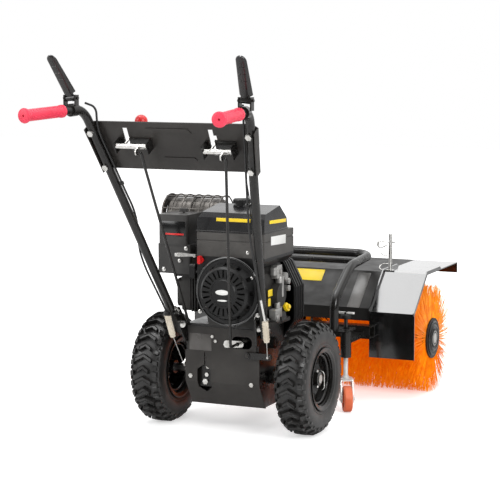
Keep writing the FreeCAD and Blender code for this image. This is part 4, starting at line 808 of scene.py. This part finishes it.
def buildPaddle(side, sign):
    look = paddleLook
    across, along = look["across"], look["along"]
    points, faces = [], []
    for row in range(along + 1):
        t = look["start"] + (look["length"] - look["start"]) * row / along
        for column in range(across + 1):
            points.append(paddleSurface(t, 2 * column / across - 1) / 1000.0)
    for row in range(along):
        for column in range(across):
            first = row * (across + 1) + column
            faces.append((first, first + 1, first + across + 2, first + across + 1))
    shell = meshPiece(points, faces)
    addModifier(shell, "SOLIDIFY", thickness=look["wall"], offset=0.0)
    sideways = dict(vertices=40, rotation=(0, math.pi / 2, 0))
    bpy.ops.mesh.primitive_cylinder_add(radius=look["boss"], depth=look["bossLong"], **sideways)
    boss = bpy.context.object
    bpy.ops.mesh.primitive_cylinder_add(radius=look["bore"], depth=look["boreLong"], **sideways)
    bore = bpy.context.object
    addModifier(boss, "BOOLEAN", operation="DIFFERENCE", object=bore)
    bpy.data.objects.remove(bore)
    parts = [shell, boss]
    for low, high in look["blocks"]:
        lowCorner, highCorner = Vector(low) / 1000.0, Vector(high) / 1000.0
        parts.append(block((lowCorner + highCorner) / 2, highCorner - lowCorner, look["blockEdge"]))
    lever = joinAll(parts)
    lean = Matrix.Rotation(math.radians(look["lean"]), 4, "X")
    splay = Matrix.Rotation(math.radians(look["splay"]), 4, "Y")
    lever.data.transform(Matrix.Translation(place(*look["pivot"])) @ lean @ splay)
    if sign < 0:
        lever.data.transform(Matrix.Scale(-1, 4, Vector((1, 0, 0))))
        lever.data.flip_normals()
    leverName = "clutch_lever_" + side.lower()
    settle(lever, "clutchPaddle" + side, "mouldedGloss", leverName,
           replaced=(leverName,), smooth=30.0)


boltLook = {
    "washer": 1.35,
    "spots": [((-191, -91, 472), (0, -1, 0), 4.5, 3.0), ((119, -151, 471), (0, -1, 0), 5.0, 4.0),
              ((98, -135.2, 540), (0, -1, 0), 4.0, 2.5), ((-137, -96, 500), (0, -1, 0), 4.0, 3.0),
              ((-116, -96, 537), (0, -1, 0), 4.5, 3.0), ((-46, -150, 365), (0, -1, 0), 4.5, 3.5),
              ((136, -150, 365), (0, -1, 0), 4.5, 3.5), ((-135, -133, 362), (0.2, -1, 0), 8.0, 5.0),
              ((-115, -127, 320), (0.2, -1, 0), 8.0, 5.0), ((129, -133, 361), (0.2, -1, 0), 6.5, 4.0),
              ((128, -127, 322), (0.2, -1, 0), 6.5, 4.0)],
}


def buildBolts():
    heads = [hexBolt(place(*at), axis, size / 1000, high / 1000, size * boltLook["washer"] / 1000)
             for at, axis, size, high in boltLook["spots"]]
    settle(joinAll(heads), "engineBolts", "zincPlate", "chassis")


castingLook = {
    "boxes": [((126, 8, 470), (22, 34, 40)), ((128, 30, 395), (16, 40, 26)), ((134, -19, 352), (24, 44, 26)),
              ((131, -24, 474), (14, 22, 24))],
    "barrels": [((132, 40, 452), 12, 26, "x"), ((130, 20, 425), 13, 60, "z"), ((136, 61, 436), 9, 18, "x"),
                ((136, 61, 415), 9, 18, "x"), ((130, 12, 372), 10, 20, "x"), ((136, -10, 372), 8, 22, "z"),
                ((138, -30, 338), 11, 22, "x"), ((139, 6, 470), 6, 8, "x")],
}


def buildCastings():
    # the small light-metal castings on the engine's right side
    parts = [block(place(*at), [side / 1000.0 for side in size], 0.003) for at, size in castingLook["boxes"]]
    for at, radius, long, axis in castingLook["barrels"]:
        turn = (0.0, math.pi / 2, 0.0) if axis == "x" else (0.0, 0.0, 0.0)
        bpy.ops.mesh.primitive_cylinder_add(vertices=36, radius=radius / 1000.0, depth=long / 1000.0,
                                            location=place(*at), rotation=turn)
        barrel = bpy.context.object
        freeze(barrel)
        addModifier(barrel, "BEVEL", width=0.0018, segments=2)
        parts.append(barrel)
    settle(joinAll(parts), "engineCastings", "castAluminium", "chassis", smooth=40.0)


shroudLook = {
    "centre": (45.0, -152.0, 428.0), "ring": 96.5, "bead": 4.0, "badge": (43.0, -188.4, 430.0),
    "ovals": ((0.0, 21.0, 7.5), (-23.0, 15.0, 2.6)),  # rise over the badge's middle, half width and height
}


def buildShroudTrim():
    # the rolled ring round the starter cover, the bare badge on its hub and the bar below it
    look = shroudLook
    facing = (math.pi / 2, 0.0, 0.0)
    bpy.ops.mesh.primitive_torus_add(major_radius=look["ring"] / 1000.0, minor_radius=look["bead"] / 1000.0,
                                     major_segments=96, minor_segments=14, location=place(*look["centre"]),
                                     rotation=facing)
    settle(bpy.context.object, "shroudRing", "hoodPaint", "chassis", smooth=60.0)
    parts = []
    x, y, z = look["badge"]
    for dz, halfWide, halfHigh in look["ovals"]:
        bpy.ops.mesh.primitive_cylinder_add(vertices=48, radius=1.0, depth=1.0, location=place(x, y, z + dz),
                                            rotation=facing)
        badge = bpy.context.object
        badge.scale = (halfWide / 1000.0, halfHigh / 1000.0, 0.0016)
        freeze(badge)
        addModifier(badge, "BEVEL", width=0.0005, segments=2)
        parts.append(badge)
    settle(joinAll(parts), "shroudBadge", "whitePlate", "chassis", smooth=40.0)


flangeLook = {"low": (-62.5, -136.8, 595.0), "high": (151.5, 35.5, 598.6), "edge": 0.0014}


def buildTankFlange():
    # the rolled seam between the tank and the housing under it
    low, high = place(*flangeLook["low"]), place(*flangeLook["high"])
    flange = block((low + high) / 2, high - low, flangeLook["edge"])
    settle(flange, "tankFlange", "framePaint", "chassis", smooth=40.0)


# corners of the pale strip on the right hood slope, a thin plate that paints the slope's sheen
hoodPaintedSheen = [(153, 508.6, 293.2), (195, 508.6, 293.2), (195, 619, 390.0), (153, 619, 390.0)]
plateEdge = 0.00048
plateLook = {  # thickness in metres, finish, body, slot and corners in mm
    "engineTagUpper": (0.0008, "yellowPlate", "chassis", "yellow",
                       [(128.6, -61, 404), (128.6, -30, 404), (128.6, -30, 424), (128.6, -61, 424)]),
    "engineTagLower": (0.0008, "yellowPlate", "chassis", "yellow",
                       [(128.6, -61, 377), (128.6, -43, 377), (128.6, -43, 399), (128.6, -61, 399)]),
    "tankStripeRear": (0.0006, "yellowPlate", "chassis", "yellow",
                       [(1, -135.3, 626), (107, -135.3, 626), (107, -135.3, 636), (1, -135.3, 636)]),
    "tankStripeSide": (0.0006, "yellowPlate", "chassis", "yellow",
                       [(150.3, -99, 620), (150.3, 19, 615), (150.3, 19, 625), (150.3, -99, 630)]),
    "sidePlateWhite": (0.0006, "whitePlate", "chassis", "tank_grey",
                       [(150.3, -89, 558), (150.3, 17, 553), (150.3, 17, 579), (150.3, -89, 583)]),
    "cleanerPlate": (0.0008, "darkPlate", "chassis", "cleaner_grey",
                     [(-196, -95.3, 572), (-118, -95.3, 572), (-118, -95.3, 615), (-196, -95.3, 615)]),
    "cleanerStripe": (0.0004, "redPlastic", "chassis", "red",
                      [(-182, -96.2, 575), (-123, -96.2, 575), (-123, -96.2, 580), (-182, -96.2, 580)]),
    "hoodPlate": (0.0006, "yellowPlate", "head", "yellow",
                  [(-33, 585.2, 360.4), (35, 585.2, 360.4), (35, 621, 391.8), (-66, 621, 391.8)]),
    # the two pale strips paint the sheen of the lit hood slopes, the left one mirrored from the right
    "hoodStripRight": (0.0006, "paintedSheenPlate", "head", "cover_grey", hoodPaintedSheen),
    "hoodStripLeft": (0.0006, "paintedSheenPlate", "head", "cover_grey",
                      [(-x, y, z) for x, y, z in reversed(hoodPaintedSheen)]),
    "coverPlate": (0.0006, "sheenPlate", "chassis", "cover_grey",
                   [(-104, -100.4, 242), (-33, -100.4, 242), (-33, -100.4, 291), (-104, -100.4, 291)]),
}


def buildPlates():
    # thin bare plates on their surfaces, standing outwards along the order of their corners
    for name, (thick, finish, body, slotName, corners) in plateLook.items():
        sheet = meshPiece([place(*corner) for corner in corners], [tuple(range(len(corners)))])
        addModifier(sheet, "SOLIDIFY", thickness=thick, offset=1.0)
        addModifier(sheet, "BEVEL", width=plateEdge, segments=2)
        settle(sheet, name, finish, body)


buildBristles()
for sideName, sideSign in (("Left", -1), ("Right", 1)):
    buildTyre(sideName)
    buildRimLips(sideName)
    buildGrip(sideName, sideSign)
    buildPaddle(sideName, sideSign)
buildBolts()
buildPlates()
buildClipRings()
buildBrushCaps()
buildCastings()
buildShroudTrim()
buildTankFlange()
print("pieces ready")

studio = {
    "floorSize": 24.0,
    "worldLight": 0.40,
    "sweepSide": (-0.35, 0.75, 0.56),
    "dimSide": 0.06,
    "brightSide": 1.2,
    "sweepFrom": -0.20,
    "sweepTo": 0.60,
    "boxSide": (-0.372, 0.003, 0.925),
    "boxLight": 4.6,
    "boxFrom": 0.955,
    "boxTo": 0.985,
    "floorTone": 0.86,
    "floorLift": 0.50,
    "farFrom": 1.3,
    "farTo": 2.6,
    "farLift": 1.0,
    "overhead": dict(at=(0.2, 0.2, 3.6), size=(4.2, 4.2), power=90.0, aim=(0.0, 0.0, 0.3)),
    "left": dict(at=(-2.6, -3.2, 2.2), size=(2.2, 2.2), power=85.0, aim=(0.0, 0.0, 0.5)),
    "right": dict(at=(3.6, -2.4, 2.4), size=(1.8, 1.8), power=120.0, aim=(0.0, 0.2, 0.4)),
}


def buildWorld():
    world = bpy.data.worlds.new("studioWorld")
    bpy.context.scene.world = world
    world.use_nodes = True
    tree = world.node_tree
    background = tree.nodes["Background"]
    background.inputs["Color"].default_value = (1.0, 1.0, 1.0, 1.0)
    path = tree.nodes.new("ShaderNodeLightPath")
    # the pale sweep behind the machine is bright, the open studio on the other side is dim
    direction = tree.nodes.new("ShaderNodeTexCoord").outputs["Generated"]
    toSweep = mathNode(tree, "VectorMath", "DOT_PRODUCT", direction, studio["sweepSide"])
    sweep = rangeNode(tree, toSweep.outputs["Value"], studio["dimSide"], studio["brightSide"],
                      studio["sweepFrom"], studio["sweepTo"])
    toBox = mathNode(tree, "VectorMath", "DOT_PRODUCT", direction, studio["boxSide"])
    box = rangeNode(tree, toBox.outputs["Value"], 0.0, studio["boxLight"], studio["boxFrom"], studio["boxTo"])
    both = mathNode(tree, "Math", "ADD", sweep.outputs["Result"], box.outputs["Result"])
    glossy = mixNode(tree, path.outputs["Is Glossy Ray"], studio["worldLight"], both.outputs[0])
    strength = mixNode(tree, path.outputs["Is Camera Ray"], glossy, 1.0)
    link(tree, strength, background.inputs["Strength"])


def buildFloor():
    bpy.ops.mesh.primitive_plane_add(size=studio["floorSize"], location=(0.0, 0.0, 0.0))
    floor = bpy.context.object
    floor.name = "studioFloor"
    material, tree, shader = newMaterial("studioFloorPaper")
    tone = studio["floorTone"]
    shader.inputs["Base Color"].default_value = (tone, tone, tone, 1.0)
    shader.inputs["Roughness"].default_value = 0.9
    shader.inputs["Specular IOR Level"].default_value = 0.0
    seen = tree.nodes.new("ShaderNodeLightPath")
    shader.inputs["Emission Color"].default_value = (1.0, 1.0, 1.0, 1.0)
    coords = tree.nodes.new("ShaderNodeTexCoord").outputs["Object"]
    spread = mathNode(tree, "VectorMath", "LENGTH", coords)
    lift = rangeNode(tree, spread.outputs["Value"], studio["floorLift"], studio["farLift"],
                     studio["farFrom"], studio["farTo"])
    strength = mathNode(tree, "Math", "MULTIPLY", lift.outputs["Result"], seen.outputs["Is Camera Ray"])
    link(tree, strength.outputs[0], shader.inputs["Emission Strength"])
    floor.data.materials.append(material)
    floor.select_set(False)


def buildLamp(name):
    lampLook = studio[name]
    data = bpy.data.lights.new(name + "Lamp", "AREA")
    data.shape = "RECTANGLE"
    data.size, data.size_y = lampLook["size"]
    data.energy = lampLook["power"]
    lamp = bpy.data.objects.new(name + "Lamp", data)
    bpy.context.scene.collection.objects.link(lamp)
    lamp.location = lampLook["at"]
    aim = Vector(lampLook["aim"]) - Vector(lampLook["at"])
    lamp.rotation_euler = aim.to_track_quat("-Z", "Y").to_euler()


cameraLook = {
    "at": (2.045, -4.5632, 1.146),
    "turn": 24.226,
    "down": 7.207,
    "roll": -0.133,
    "lens": 121.33,
    "sensor": 36.0,
}


def buildCamera():
    data = bpy.data.cameras.new("studioCamera")
    data.lens = cameraLook["lens"]
    data.sensor_width = cameraLook["sensor"]
    camera = bpy.data.objects.new("studioCamera", data)
    bpy.context.scene.collection.objects.link(camera)
    turn, down = math.radians(cameraLook["turn"]), math.radians(cameraLook["down"])
    forward = Vector((-math.sin(turn) * math.cos(down), math.cos(turn) * math.cos(down), -math.sin(down)))
    basis = forward.to_track_quat("-Z", "Y").to_matrix().to_4x4()
    roll = Matrix.Rotation(math.radians(cameraLook["roll"]), 4, "Z")
    camera.matrix_world = Matrix.Translation(Vector(cameraLook["at"])) @ basis @ roll
    bpy.context.scene.camera = camera


bpy.context.scene.view_settings.view_transform = "Standard"
buildWorld()
buildFloor()
for lampName in ("overhead", "left", "right"):
    buildLamp(lampName)
buildCamera()
print("stage ready")
